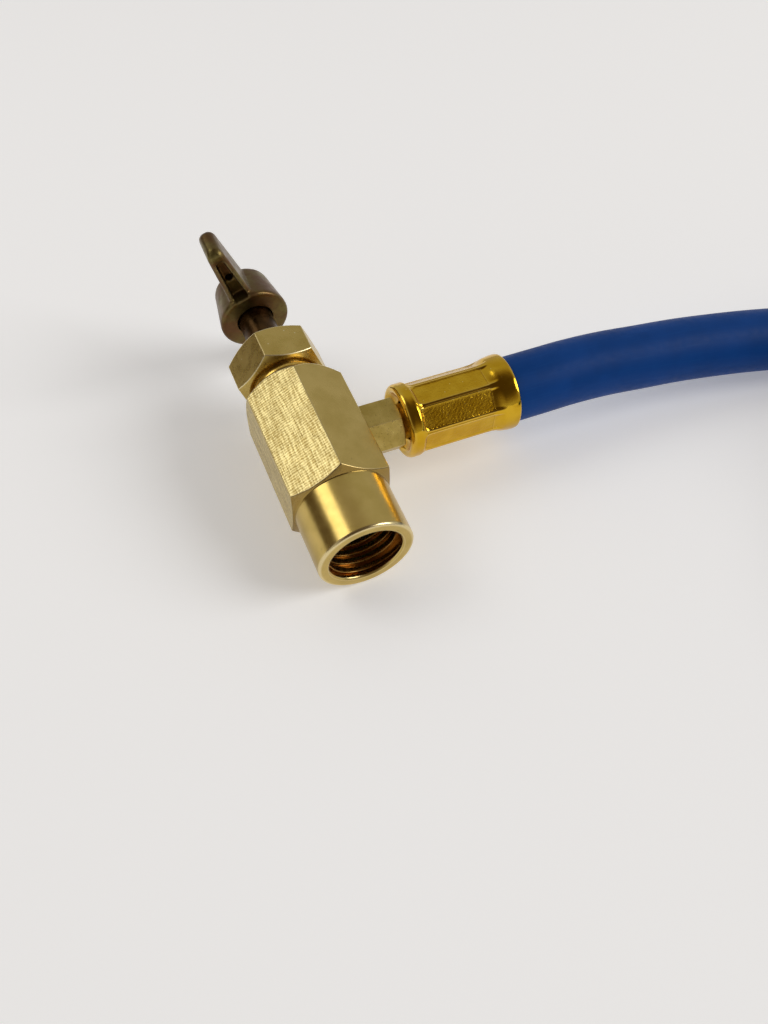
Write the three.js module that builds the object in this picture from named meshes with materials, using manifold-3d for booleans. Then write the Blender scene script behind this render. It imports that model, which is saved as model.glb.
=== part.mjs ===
// Refrigerant charging hose: a brass can tap with a wing handle, and its hose.
// Millimetres, +Z up. The can port looks along -Y and a little down, the hose leaves along +X.
// The tap is built upright on its own axis, with its can port at the bottom, and is then laid down.
import * as THREE from 'three';
import { mergeVertices } from 'three/addons/utils/BufferGeometryUtils.js';
import Module from 'manifold-3d';

const wasm = await Module();
wasm.setup();

// How finely round pieces are cut, and the clearances between pieces
const ROUND_SIDES = 40;
const SMALL_SIDES = 20;
const COIL_SIDES = 56;
const HOSE_SIDES = 12;
const SEAT_GAP = 0.3;
const STEM_CLEARANCE = 0.3;
const OVERRUN = 1;

// Tap body: hexagonal bar with a turned collar round the can port
const TAP_TILT = 7.5;
const HEX_ACROSS_FLATS = 16;
const HEX_START = 11;
const HEX_END = 31.3;
const HEX_FRONT_CHAMFER = 30;
const HEX_BACK_CHAMFER = 45;
const HEX_TOP_RADIUS = 7;
const COLLAR_RADIUS = 7.7;
const COLLAR_EDGE = 0.45;
const PORT_RADIUS = 5.55;
const PORT_MOUTH_RADIUS = 6.5;
const PORT_DEPTH = 11;
const PORT_RELIEF_RADIUS = 6.35;
const PORT_RELIEF_LENGTH = 2.6;
const CHAMBER_RADIUS = 3.5;
const CHAMBER_START = 14;
const GLAND_DEPTH = 6.5;

// Can seal at the bottom of the port
const SEAL_THICKNESS = 2;
const SEAL_BORE_RADIUS = 1.7;

// Packing nut
const NUT_ACROSS_FLATS = 13.9;
const NUT_TURN = 7.5;
const NUT_NECK = 2.1;
const NUT_LENGTH = 7.1;
const NUT_CHAMFER = 30;
const NUT_FACE_RADIUS = 6.4;
const NUT_SHANK_RADIUS = 5.8;

// Valve stem with its piercing needle
const STEM_RADIUS = 3;
const STEM_LOWER_RADIUS = 2.6;
const STEM_LOWER_END = 30;
const NEEDLE_RADIUS = 1.2;
const NEEDLE_TIP = 11.6;
const NEEDLE_TAPER = 3;
const NEEDLE_LENGTH = 6.5;
const STEM_IN_HUB = 6;

// Wing handle
const HUB_STANDOFF = 8.7;
const HUB_HEIGHT = 8.4;
const HUB_BOTTOM_RADIUS = 6.2;
const HUB_TOP_RADIUS = 4.8;
const HUB_EDGE = 0.8;
const WING_TURN = 20.8;
const WING_REACH = 15.6;
const WING_RISE = 2;
const WING_ROOT_WIDTH = 4.8;
const WING_TIP_WIDTH = 2.7;
const WING_ROOT_HEIGHT = 7.6;
const WING_TIP_HEIGHT = 6;
const WING_CORNER = 1.3;
const WING_RIM = 0.75;
const WING_HOLLOW_DEPTH = 1.6;
const WING_HOLLOW_START = 6.7;
const WING_HOLLOW_END = 13;
const WING_HOLE_RADIUS = 0.6;
const WING_HOLE_DEPTH = 1.5;
const WING_HOLE_AT = 9;

// Branch: hose nipple and crimped ferrule
const BRANCH_HEIGHT = 21.86;
const NIPPLE_ACROSS_FLATS = 8;
const NIPPLE_TURN = 44;
const NIPPLE_HEX_LENGTH = 5.7;
const NIPPLE_SHANK_RADIUS = 2.7;
const NIPPLE_SHANK_LENGTH = 3;
const NIPPLE_BORE_RADIUS = 1.3;
const BARB_RADIUS = 3;
const BARB_LENGTH = 16;
const FERRULE_LENGTH = 19.4;
const FERRULE_COLLAR_RADIUS = 6.2;
const FERRULE_COLLAR_LENGTH = 2.4;
const FERRULE_WAIST_RADIUS = 5.8;
const FERRULE_FLARE_RADIUS = 6.45;
const FERRULE_FLARE_LENGTH = 2.6;
const FERRULE_EDGE = 0.7;
const FERRULE_WALL = 0.75;
const FERRULE_FLATS = 8;
const FERRULE_FLAT_DEPTH = 0.35;
const FERRULE_FLAT_WIDTH = 3.2;

// Hose, and the coil that its length is put away in
const HOSE_DIAMETER = 11.2;
const COIL_OUTER_TURN_RADIUS = 67.2;
const COIL_TURNS_ACROSS = 2;
const COIL_CENTRE = [108, -81.9];
const RING_EDGE = 2.2;

// Swivel fitting on the far end
const END_PIPE_RADIUS = 3.4;
const END_PIPE_BORE_RADIUS = 1.6;
const END_PIPE_SHOWN = 2.2;
const END_FLANGE_RADIUS = 4.55;
const END_FLANGE_LENGTH = 2;
const END_NUT_RADIUS = 7.6;
const END_NUT_LENGTH = 14;
const END_NUT_EDGE = 0.8;
const END_NUT_WALL = 3;
const END_SOCKET_RADIUS = 4.95;
const END_SOCKET_MOUTH_RADIUS = 5.7;
const END_GASKET_THICKNESS = 1.8;
const END_GASKET_RADIUS = 4.5;
const END_GASKET_BORE_RADIUS = 2.2;

// Route of the hose from the ferrule to the coil: along X and Y from the ferrule's rear face,
// and how far the hose has sunk from the branch's height (0) to the floor (1).
const RUN_ROUTE = [
  [0, 0, 0],
  [6, 0, 0],
  [12, 0.2, 0.04],
  [19, 0.2, 0.13],
  [26, -0.2, 0.24],
  [33, -0.6, 0.35],
  [40, -1.3, 0.47],
  [47, -2.3, 0.58],
  [54, -3.6, 0.69],
  [62, -5.1, 0.81],
  [70, -6.6, 0.9],
  [78, -8.1, 0.96],
  [86, -9.6, 0.99],
  [94, -11, 1],
  [102, -12.5, 1],
  [111, -14.2, 1],
  [120.2, -15.9, 1],
];

// Route of the last stretch, up off the inner turn and along the top of the coil: the angle round
// the coil in degrees, how far out it lies (0 inner turn, 1 outer turn) and how far it has climbed.
// It ends with a short straight stretch along +X into its ferrule.
const TAIL_ROUTE = [
  [175, 0, 0],
  [165, 0, 0.05],
  [155, 0, 0.18],
  [145, 0.02, 0.37],
  [135, 0.1, 0.59],
  [125, 0.22, 0.79],
  [115, 0.36, 0.93],
  [105, 0.47, 1],
  [97, 0.5, 1],
  [90, 0.5, 1],
];
const TAIL_STRAIGHT = 5;

const degrees = THREE.MathUtils.degToRad;

// A closed geometry as a solid for joining and cutting
function solid(geometry) {
  const bare = geometry.clone();
  bare.deleteAttribute('normal');
  bare.deleteAttribute('uv');
  const welded = mergeVertices(bare, 1e-4);
  return new wasm.Manifold(new wasm.Mesh({
    numProp: 3,
    vertProperties: new Float32Array(welded.attributes.position.array),
    triVerts: new Uint32Array(welded.index.array),
  }));
}

function geometryOf(shape) {
  const mesh = shape.getMesh();
  const geometry = new THREE.BufferGeometry();
  geometry.setAttribute('position', new THREE.BufferAttribute(mesh.vertProperties, 3));
  geometry.setIndex(new THREE.BufferAttribute(mesh.triVerts, 1));
  geometry.computeVertexNormals();
  return geometry;
}

// A turned solid about Z from [radius, height] points, going up outside and back down inside
function turned(profile, sides = ROUND_SIDES) {
  const points = profile.map(([radius, height]) => new THREE.Vector2(radius, height));
  return new THREE.LatheGeometry(points, sides).rotateX(Math.PI / 2);
}

function rod(radius, from, to, sides = ROUND_SIDES) {
  return turned([[0, from], [radius, from], [radius, to], [0, to]], sides);
}

// A hexagonal bar along Z, with a corner at the given angle from +X
function hexBar(acrossFlats, from, to, cornerAngle) {
  const cornerRadius = acrossFlats / Math.sqrt(3);
  const shape = new THREE.Shape();
  for (let side = 0; side < 6; side += 1) {
    const angle = degrees(cornerAngle + 60 * side);
    const x = cornerRadius * Math.cos(angle);
    const y = cornerRadius * Math.sin(angle);
    if (side === 0) {
      shape.moveTo(x, y);
    } else {
      shape.lineTo(x, y);
    }
  }
  shape.closePath();
  return new THREE.ExtrudeGeometry(shape, { depth: to - from, bevelEnabled: false }).translate(0, 0, from);
}

function box(width, depth, height, x, y, z) {
  return new THREE.BoxGeometry(width, depth, height).translate(x, y, z);
}

// The axial length of a chamfer between two radii, for its angle from the end face
function chamferLength(outerRadius, innerRadius, angle) {
  return (outerRadius - innerRadius) * Math.tan(degrees(angle));
}

// Heights along the tap's axis, from the mouth of the can port
const hexCornerRadius = HEX_ACROSS_FLATS / Math.sqrt(3);
const hexFront = HEX_START - chamferLength(hexCornerRadius, COLLAR_RADIUS, HEX_FRONT_CHAMFER);
const bodyTop = HEX_END + chamferLength(hexCornerRadius, HEX_TOP_RADIUS, HEX_BACK_CHAMFER);
const nutBottom = bodyTop + NUT_NECK;
const nutTop = nutBottom + NUT_LENGTH;
const hubBottom = nutTop + HUB_STANDOFF;
const hubTop = hubBottom + HUB_HEIGHT;
const sealBottom = PORT_DEPTH - SEAT_GAP - SEAL_THICKNESS;
const glandBottom = bodyTop - GLAND_DEPTH;
const glandBoreRadius = NUT_SHANK_RADIUS + SEAT_GAP;
const branchBoreRadius = NIPPLE_SHANK_RADIUS + SEAT_GAP;
const hexHalf = HEX_ACROSS_FLATS / 2;

function tapBody() {
  const bar = solid(hexBar(HEX_ACROSS_FLATS, hexFront, bodyTop, 30));
  const envelope = solid(turned([
    [0, hexFront - OVERRUN],
    [COLLAR_RADIUS, hexFront - OVERRUN],
    [COLLAR_RADIUS, hexFront],
    [hexCornerRadius, HEX_START],
    [hexCornerRadius + OVERRUN, HEX_START],
    [hexCornerRadius + OVERRUN, HEX_END],
    [hexCornerRadius, HEX_END],
    [HEX_TOP_RADIUS, bodyTop],
    [0, bodyTop],
  ], ROUND_SIDES * 2));
  const collar = solid(turned([
    [0, 0],
    [COLLAR_RADIUS - COLLAR_EDGE, 0],
    [COLLAR_RADIUS - COLLAR_EDGE * 0.3, COLLAR_EDGE * 0.3],
    [COLLAR_RADIUS, COLLAR_EDGE],
    [COLLAR_RADIUS, hexFront + OVERRUN],
    [0, hexFront + OVERRUN],
  ]));
  const passage = solid(turned([
    [0, -OVERRUN],
    [PORT_MOUTH_RADIUS + OVERRUN, -OVERRUN],
    [PORT_RADIUS, PORT_MOUTH_RADIUS - PORT_RADIUS],
    [PORT_RADIUS, PORT_DEPTH - PORT_RELIEF_LENGTH],
    [PORT_RELIEF_RADIUS, PORT_DEPTH - PORT_RELIEF_LENGTH],
    [PORT_RELIEF_RADIUS, PORT_DEPTH],
    [STEM_LOWER_RADIUS, PORT_DEPTH],
    [STEM_LOWER_RADIUS, CHAMBER_START],
    [CHAMBER_RADIUS, CHAMBER_START],
    [CHAMBER_RADIUS, glandBottom],
    [glandBoreRadius, glandBottom],
    [glandBoreRadius, bodyTop + OVERRUN],
    [0, bodyTop + OVERRUN],
  ]));
  const branch = solid(rod(branchBoreRadius, 0, hexHalf + OVERRUN, SMALL_SIDES)
    .rotateY(Math.PI / 2)
    .translate(0, 0, BRANCH_HEIGHT));
  return geometryOf(bar.intersect(envelope).add(collar).subtract(passage).subtract(branch));
}

function canSeal() {
  const rimRadius = PORT_RELIEF_RADIUS - SEAT_GAP;
  return turned([
    [SEAL_BORE_RADIUS, sealBottom],
    [rimRadius, sealBottom],
    [rimRadius, sealBottom + SEAL_THICKNESS],
    [SEAL_BORE_RADIUS, sealBottom + SEAL_THICKNESS],
    [SEAL_BORE_RADIUS, sealBottom],
  ], ROUND_SIDES);
}

function packingNut() {
  const cornerRadius = NUT_ACROSS_FLATS / Math.sqrt(3);
  const chamfer = chamferLength(cornerRadius, NUT_FACE_RADIUS, NUT_CHAMFER);
  const head = solid(hexBar(NUT_ACROSS_FLATS, nutBottom, nutTop, NUT_TURN));
  const envelope = solid(turned([
    [0, nutBottom],
    [NUT_FACE_RADIUS, nutBottom],
    [cornerRadius, nutBottom + chamfer],
    [cornerRadius + OVERRUN, nutBottom + chamfer],
    [cornerRadius + OVERRUN, nutTop - chamfer],
    [cornerRadius, nutTop - chamfer],
    [NUT_FACE_RADIUS, nutTop],
    [0, nutTop],
  ], ROUND_SIDES * 2));
  const shank = solid(rod(NUT_SHANK_RADIUS, glandBottom + SEAT_GAP, nutBottom + OVERRUN));
  const bore = solid(rod(STEM_RADIUS + STEM_CLEARANCE, glandBottom - OVERRUN, nutTop + OVERRUN, SMALL_SIDES));
  return geometryOf(head.intersect(envelope).add(shank).subtract(bore));
}

function valveStem() {
  const hubFloor = hubBottom + STEM_IN_HUB;
  return turned([
    [0, NEEDLE_TIP],
    [NEEDLE_RADIUS, NEEDLE_TIP + NEEDLE_TAPER],
    [NEEDLE_RADIUS, NEEDLE_TIP + NEEDLE_LENGTH],
    [STEM_LOWER_RADIUS, NEEDLE_TIP + NEEDLE_LENGTH + STEM_LOWER_RADIUS - NEEDLE_RADIUS],
    [STEM_LOWER_RADIUS, STEM_LOWER_END],
    [STEM_RADIUS, STEM_LOWER_END],
    [STEM_RADIUS, hubFloor],
    [0, hubFloor],
  ], SMALL_SIDES);
}

// One arm along +X: its plan tapers to a rounded tip, and its side view rises towards rounded tip corners
function wingArm() {
  const plan = new THREE.Shape();
  const tipHalf = WING_TIP_WIDTH / 2;
  const rootHalf = WING_ROOT_WIDTH / 2;
  plan.moveTo(0, -rootHalf);
  plan.lineTo(WING_REACH - tipHalf, -tipHalf);
  plan.absarc(WING_REACH - tipHalf, 0, tipHalf, -Math.PI / 2, Math.PI / 2, false);
  plan.lineTo(0, rootHalf);
  plan.closePath();
  const planBar = new THREE.ExtrudeGeometry(plan, {
    depth: HUB_HEIGHT + 2 * OVERRUN,
    bevelEnabled: false,
    curveSegments: 6,
  }).translate(0, 0, hubBottom - OVERRUN);

  const side = new THREE.Shape();
  side.moveTo(0, 0);
  const cornerReach = WING_REACH - WING_CORNER;
  const tipTop = WING_RISE + WING_TIP_HEIGHT;
  side.lineTo(cornerReach, WING_RISE);
  side.absarc(cornerReach, WING_RISE + WING_CORNER, WING_CORNER, -Math.PI / 2, 0, false);
  side.absarc(cornerReach, tipTop - WING_CORNER, WING_CORNER, 0, Math.PI / 2, false);
  side.lineTo(0, WING_ROOT_HEIGHT);
  side.closePath();
  const sideBar = new THREE.ExtrudeGeometry(side, {
    depth: WING_ROOT_WIDTH + 2 * OVERRUN,
    bevelEnabled: false,
    curveSegments: 3,
  }).translate(0, 0, -rootHalf - OVERRUN).rotateX(Math.PI / 2).translate(0, 0, hubBottom);
  return solid(planBar).intersect(solid(sideBar));
}

// The hollow under one arm, which rises with it, with straight rims on both sides, and its small hole
function wingHollow() {
  const hollow = new THREE.Shape();
  const widthAt = (reach) => WING_ROOT_WIDTH + (WING_TIP_WIDTH - WING_ROOT_WIDTH) * reach / WING_REACH;
  const startHalf = widthAt(WING_HOLLOW_START) / 2 - WING_RIM;
  const endHalf = widthAt(WING_HOLLOW_END) / 2 - WING_RIM;
  hollow.moveTo(WING_HOLLOW_START, -startHalf);
  hollow.lineTo(WING_HOLLOW_END, -endHalf);
  hollow.absarc(WING_HOLLOW_END, 0, endHalf, -Math.PI / 2, Math.PI / 2, false);
  hollow.lineTo(WING_HOLLOW_START, startHalf);
  hollow.closePath();
  const pocket = new THREE.ExtrudeGeometry(hollow, {
    depth: WING_HOLLOW_DEPTH + OVERRUN,
    bevelEnabled: false,
    curveSegments: 4,
  }).translate(0, 0, -OVERRUN);
  const floor = WING_HOLLOW_DEPTH;
  const hole = rod(WING_HOLE_RADIUS, floor - OVERRUN, floor + WING_HOLE_DEPTH, 10).translate(WING_HOLE_AT, 0, 0);
  const slope = THREE.MathUtils.radToDeg(Math.atan2(WING_RISE, WING_REACH - WING_CORNER));
  return solid(pocket).add(solid(hole)).rotate([0, -slope, 0]).translate([0, 0, hubBottom]);
}

function wingHandle() {
  const hub = solid(turned([
    [0, hubBottom],
    [HUB_BOTTOM_RADIUS - HUB_EDGE, hubBottom],
    [HUB_BOTTOM_RADIUS - HUB_EDGE * 0.3, hubBottom + HUB_EDGE * 0.3],
    [HUB_BOTTOM_RADIUS, hubBottom + HUB_EDGE],
    [HUB_TOP_RADIUS, hubTop - HUB_EDGE],
    [HUB_TOP_RADIUS - HUB_EDGE * 0.3, hubTop - HUB_EDGE * 0.3],
    [HUB_TOP_RADIUS - HUB_EDGE, hubTop],
    [0, hubTop],
  ]));
  const socketRadius = STEM_RADIUS + STEM_CLEARANCE;
  const socket = solid(rod(socketRadius, hubBottom - OVERRUN, hubBottom + STEM_IN_HUB + SEAT_GAP, SMALL_SIDES));
  let handle = hub;
  let hollows = socket;
  for (const turn of [-90 - WING_TURN, 90 - WING_TURN]) {
    handle = handle.add(wingArm().rotate([0, 0, turn]));
    hollows = hollows.add(wingHollow().rotate([0, 0, turn]));
  }
  return geometryOf(handle.subtract(hollows));
}

// Branch pieces, built along +Z from the hose-side flat of the hexagon and then laid along +X
const nippleHexStart = SEAT_GAP;
const nippleHexEnd = nippleHexStart + NIPPLE_HEX_LENGTH;
const ferruleStart = nippleHexEnd + SEAT_GAP;
const ferruleEnd = ferruleStart + FERRULE_LENGTH;

function hoseNipple() {
  const hex = solid(hexBar(NIPPLE_ACROSS_FLATS, nippleHexStart, nippleHexEnd, NIPPLE_TURN));
  const shank = solid(rod(NIPPLE_SHANK_RADIUS, -NIPPLE_SHANK_LENGTH, nippleHexStart + OVERRUN, SMALL_SIDES));
  const barb = solid(rod(BARB_RADIUS, nippleHexEnd - OVERRUN, nippleHexEnd + BARB_LENGTH, SMALL_SIDES));
  const bore = solid(rod(NIPPLE_BORE_RADIUS, -NIPPLE_SHANK_LENGTH - OVERRUN,
    nippleHexEnd + BARB_LENGTH + OVERRUN, SMALL_SIDES));
  return geometryOf(hex.add(shank).add(barb).subtract(bore));
}

// A crimped ferrule along +Z: rolled collar, waist pressed into flats, and a flared rear rim
function ferrule(start, boreRadius) {
  const end = start + FERRULE_LENGTH;
  const waistStart = start + FERRULE_COLLAR_LENGTH;
  const waistEnd = end - FERRULE_FLARE_LENGTH;
  const shell = solid(turned([
    [0, start],
    [FERRULE_COLLAR_RADIUS - FERRULE_EDGE, start],
    [FERRULE_COLLAR_RADIUS, start + FERRULE_EDGE],
    [FERRULE_COLLAR_RADIUS, waistStart - FERRULE_EDGE],
    [FERRULE_WAIST_RADIUS, waistStart],
    [FERRULE_WAIST_RADIUS, waistEnd],
    [FERRULE_FLARE_RADIUS, waistEnd + FERRULE_FLARE_LENGTH / 2],
    [FERRULE_FLARE_RADIUS, end],
    [0, end],
  ]));
  const flatRadius = FERRULE_WAIST_RADIUS - FERRULE_FLAT_DEPTH;
  const hollowRadius = flatRadius - FERRULE_WALL;
  let cuts = solid(turned([
    [0, start - OVERRUN],
    [boreRadius, start - OVERRUN],
    [boreRadius, waistStart],
    [hollowRadius, waistStart],
    [hollowRadius, end + OVERRUN],
    [0, end + OVERRUN],
  ]));
  const flatLength = waistEnd - waistStart - FERRULE_EDGE;
  for (let flat = 0; flat < FERRULE_FLATS; flat += 1) {
    const slab = solid(box(2 * OVERRUN, FERRULE_FLAT_WIDTH, flatLength,
      flatRadius + OVERRUN, 0, (waistStart + waistEnd) / 2));
    cuts = cuts.add(slab.rotate([0, 0, flat * 360 / FERRULE_FLATS]));
  }
  return shell.subtract(cuts);
}

function mesh(name, geometry, colour, roughness, metalness) {
  const material = new THREE.MeshStandardMaterial({ color: colour, roughness, metalness });
  const piece = new THREE.Mesh(geometry, material);
  piece.name = name;
  return piece;
}

const BRASS = 0xb8a45c;
const DARK_BRASS = 0xa08c4c;
const GOLD = 0xcf9c1c;
const CHROMATE = 0x7a6038;
const BLUE_RUBBER = 0x123f8c;
const GREEN_RUBBER = 0x1c3a28;
const BLACK_RUBBER = 0x1a1a1a;

// The tap, laid down so that its can port looks along -Y and tilts down
const tap = new THREE.Group();
tap.rotation.x = -degrees(90 - TAP_TILT);
tap.add(mesh('tap_body', tapBody(), BRASS, 0.35, 1));
tap.add(mesh('can_seal', canSeal(), GREEN_RUBBER, 0.7, 0));
tap.add(mesh('packing_nut', packingNut(), DARK_BRASS, 0.35, 1));
tap.add(mesh('valve_stem', valveStem(), DARK_BRASS, 0.4, 1));
tap.add(mesh('wing_handle', wingHandle(), CHROMATE, 0.45, 0.8));

const branch = new THREE.Group();
branch.position.set(hexHalf, 0, BRANCH_HEIGHT);
branch.rotation.y = Math.PI / 2;
branch.add(mesh('hose_nipple', hoseNipple(), BRASS, 0.4, 1));
branch.add(mesh('crimp_ferrule', geometryOf(ferrule(ferruleStart, BARB_RADIUS + SEAT_GAP)), GOLD, 0.15, 1));
tap.add(branch);

// The origin is on the floor under the middle of the tap with its branch
const group = new THREE.Group();
group.add(tap);
group.updateMatrixWorld(true);
const tapBox = new THREE.Box3().setFromObject(tap, true);
const tapMiddle = tapBox.getCenter(new THREE.Vector3());
tap.position.set(-tapMiddle.x, -tapMiddle.y, -tapBox.min.z);
group.updateMatrixWorld(true);

// The hose: a run from the ferrule, a flat coil of two turns, and a tail on top of the coil
const hoseRadius = HOSE_DIAMETER / 2;
const exit = new THREE.Vector3(0, 0, ferruleEnd + SEAT_GAP);
branch.localToWorld(exit);
const coilCentre = new THREE.Vector2(exit.x + COIL_CENTRE[0], exit.y + COIL_CENTRE[1]);
const innerTurnRadius = COIL_OUTER_TURN_RADIUS - (COIL_TURNS_ACROSS - 1) * HOSE_DIAMETER;
const ringOuter = COIL_OUTER_TURN_RADIUS + hoseRadius;
const ringInner = innerTurnRadius - hoseRadius;

function ringProfile(grow) {
  const edge = RING_EDGE;
  const low = -grow;
  const high = HOSE_DIAMETER + grow;
  const inner = ringInner - grow;
  const outer = ringOuter + grow;
  return [
    [inner + edge, low],
    [outer - edge, low],
    [outer, low + edge],
    [outer, high - edge],
    [outer - edge, high],
    [inner + edge, high],
    [inner, high - edge],
    [inner, low + edge],
    [inner + edge, low],
  ];
}

const ring = turned(ringProfile(0), COIL_SIDES).translate(coilCentre.x, coilCentre.y, 0);
const ringRoom = turned(ringProfile(SEAT_GAP), COIL_SIDES).translate(coilCentre.x, coilCentre.y, 0);

function hoseTube(points, steps) {
  const section = new THREE.Shape();
  for (let side = 0; side < HOSE_SIDES; side += 1) {
    const angle = 2 * Math.PI * side / HOSE_SIDES;
    const x = hoseRadius * Math.cos(angle);
    const y = hoseRadius * Math.sin(angle);
    if (side === 0) {
      section.moveTo(x, y);
    } else {
      section.lineTo(x, y);
    }
  }
  section.closePath();
  const extrudePath = new THREE.CatmullRomCurve3(points);
  return new THREE.ExtrudeGeometry(section, { steps, extrudePath, bevelEnabled: false });
}

const runPoints = RUN_ROUTE.map(([x, y, sunk]) => new THREE.Vector3(
  exit.x + x,
  exit.y + y,
  exit.z + (hoseRadius - exit.z) * sunk,
));
const hoseRun = geometryOf(solid(hoseTube(runPoints, 13)).subtract(solid(ringRoom)));

// The far end lies along the top of the coil, and heads along +X
const coilTop = HOSE_DIAMETER;
const endAxisHeight = coilTop + SEAT_GAP + END_NUT_RADIUS;
const tailPoints = TAIL_ROUTE.map(([angle, outward, climbed]) => {
  const radius = innerTurnRadius + outward * (COIL_OUTER_TURN_RADIUS - innerTurnRadius);
  return new THREE.Vector3(
    coilCentre.x + radius * Math.cos(degrees(angle)),
    coilCentre.y + radius * Math.sin(degrees(angle)),
    hoseRadius + (endAxisHeight - hoseRadius) * climbed,
  );
});
const tailEnd = tailPoints[tailPoints.length - 1].clone();
tailEnd.x += TAIL_STRAIGHT;
tailPoints.push(tailEnd);
const hoseTail = geometryOf(solid(hoseTube(tailPoints, 12)).subtract(solid(ringRoom)));

// Far fitting, built along +Z from the hose's end face and then laid along +X
const endFerruleStart = SEAT_GAP;
const endFerruleEnd = endFerruleStart + FERRULE_LENGTH;
const endNutStart = endFerruleEnd + END_PIPE_SHOWN;
const endNutEnd = endNutStart + END_NUT_LENGTH;
const endFlangeStart = endNutStart + END_NUT_WALL + SEAT_GAP;
const endFlangeEnd = endFlangeStart + END_FLANGE_LENGTH;

function endFerrule() {
  const shell = ferrule(-endFerruleEnd, END_PIPE_RADIUS + SEAT_GAP);
  return geometryOf(shell.rotate([180, 0, 0]));
}

function endTailpiece() {
  return turned([
    [END_PIPE_BORE_RADIUS, endFerruleEnd - BARB_LENGTH],
    [END_PIPE_RADIUS, endFerruleEnd - BARB_LENGTH],
    [END_PIPE_RADIUS, endFlangeStart],
    [END_FLANGE_RADIUS, endFlangeStart],
    [END_FLANGE_RADIUS, endFlangeEnd],
    [END_PIPE_BORE_RADIUS, endFlangeEnd],
    [END_PIPE_BORE_RADIUS, endFerruleEnd - BARB_LENGTH],
  ], SMALL_SIDES);
}

function endGasket() {
  const low = endFlangeEnd + SEAT_GAP;
  const high = low + END_GASKET_THICKNESS;
  return turned([
    [END_GASKET_BORE_RADIUS, low],
    [END_GASKET_RADIUS, low],
    [END_GASKET_RADIUS, high],
    [END_GASKET_BORE_RADIUS, high],
    [END_GASKET_BORE_RADIUS, low],
  ], SMALL_SIDES);
}

function endNut() {
  const pipeHole = END_PIPE_RADIUS + SEAT_GAP;
  const mouthChamfer = END_SOCKET_MOUTH_RADIUS - END_SOCKET_RADIUS;
  return turned([
    [pipeHole, endNutStart],
    [END_NUT_RADIUS - END_NUT_EDGE, endNutStart],
    [END_NUT_RADIUS, endNutStart + END_NUT_EDGE],
    [END_NUT_RADIUS, endNutEnd - END_NUT_EDGE],
    [END_NUT_RADIUS - END_NUT_EDGE, endNutEnd],
    [END_SOCKET_MOUTH_RADIUS, endNutEnd],
    [END_SOCKET_RADIUS, endNutEnd - mouthChamfer],
    [END_SOCKET_RADIUS, endNutStart + END_NUT_WALL],
    [pipeHole, endNutStart + END_NUT_WALL],
    [pipeHole, endNutStart],
  ]);
}

const farEnd = new THREE.Group();
farEnd.position.copy(tailEnd);
farEnd.rotation.y = Math.PI / 2;
farEnd.add(mesh('end_ferrule', endFerrule(), GOLD, 0.15, 1));
farEnd.add(mesh('end_tailpiece', endTailpiece(), BRASS, 0.4, 1));
farEnd.add(mesh('end_gasket', endGasket(), BLACK_RUBBER, 0.7, 0));
farEnd.add(mesh('end_nut', endNut(), BRASS, 0.35, 1));

group.add(mesh('hose_run', hoseRun, BLUE_RUBBER, 0.5, 0));
group.add(mesh('hose_coil', ring, BLUE_RUBBER, 0.5, 0));
group.add(mesh('hose_tail', hoseTail, BLUE_RUBBER, 0.5, 0));
group.add(farEnd);

export default group;
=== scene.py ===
import math

import bmesh
import bpy
import numpy as np
from mathutils import Matrix, Vector


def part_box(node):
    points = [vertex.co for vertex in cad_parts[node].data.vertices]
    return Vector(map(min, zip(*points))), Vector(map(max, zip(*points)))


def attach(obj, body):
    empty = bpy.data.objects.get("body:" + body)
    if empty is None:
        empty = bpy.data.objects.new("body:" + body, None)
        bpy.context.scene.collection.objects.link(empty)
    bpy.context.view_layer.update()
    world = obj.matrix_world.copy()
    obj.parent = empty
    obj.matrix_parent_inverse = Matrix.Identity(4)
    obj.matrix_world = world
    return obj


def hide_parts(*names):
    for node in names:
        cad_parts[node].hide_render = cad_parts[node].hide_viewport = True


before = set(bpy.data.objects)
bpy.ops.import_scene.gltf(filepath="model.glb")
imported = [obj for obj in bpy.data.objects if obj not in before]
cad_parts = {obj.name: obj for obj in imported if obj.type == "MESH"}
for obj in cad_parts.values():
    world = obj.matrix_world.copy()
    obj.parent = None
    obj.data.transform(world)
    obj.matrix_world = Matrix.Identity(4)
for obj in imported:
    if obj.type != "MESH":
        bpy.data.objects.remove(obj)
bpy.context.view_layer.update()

MM = 0.001

# The tap is drawn upright on its own axis, in millimetres, with the can port's mouth at height 0,
# and is then laid down with its port looking along -Y and tilted down.
TAP_TILT = math.radians(7.5)
HEX_ACROSS_FLATS = 16.0
HEX_START = 11.0
HEX_END = 31.3
HEX_TOP_RADIUS = 7.0
SAWN_SIDES = (1, 3, 4)
COLLAR_RADIUS = 7.7
COLLAR_EDGE = 0.45
PORT_MINOR_RADIUS = 5.55
PORT_MAJOR_RADIUS = 6.3
PORT_MOUTH_RADIUS = 6.15
PORT_DEPTH = 11.0
PORT_PITCH = 1.5875
CHAMBER_RADIUS = 3.5
CHAMBER_START = 14.0
GLAND_RADIUS = 6.1
GLAND_DEPTH = 6.5
SEAL_BOTTOM = 8.7
SEAL_TOP = 10.7
BRANCH_HEIGHT = 21.86
HOSE_RADIUS = 5.6

NUT_ACROSS_FLATS = 13.9
NUT_CORNER = 7.5
NUT_FACE_RADIUS = 6.4
NUT_SHANK_RADIUS = 5.55

STEM_RADIUS = 3.0
STEM_LOWER_RADIUS = 2.6
STEM_IN_HUB = 6.0
STEM_STEP = 30.0
NEEDLE_TIP = 11.6

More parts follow.
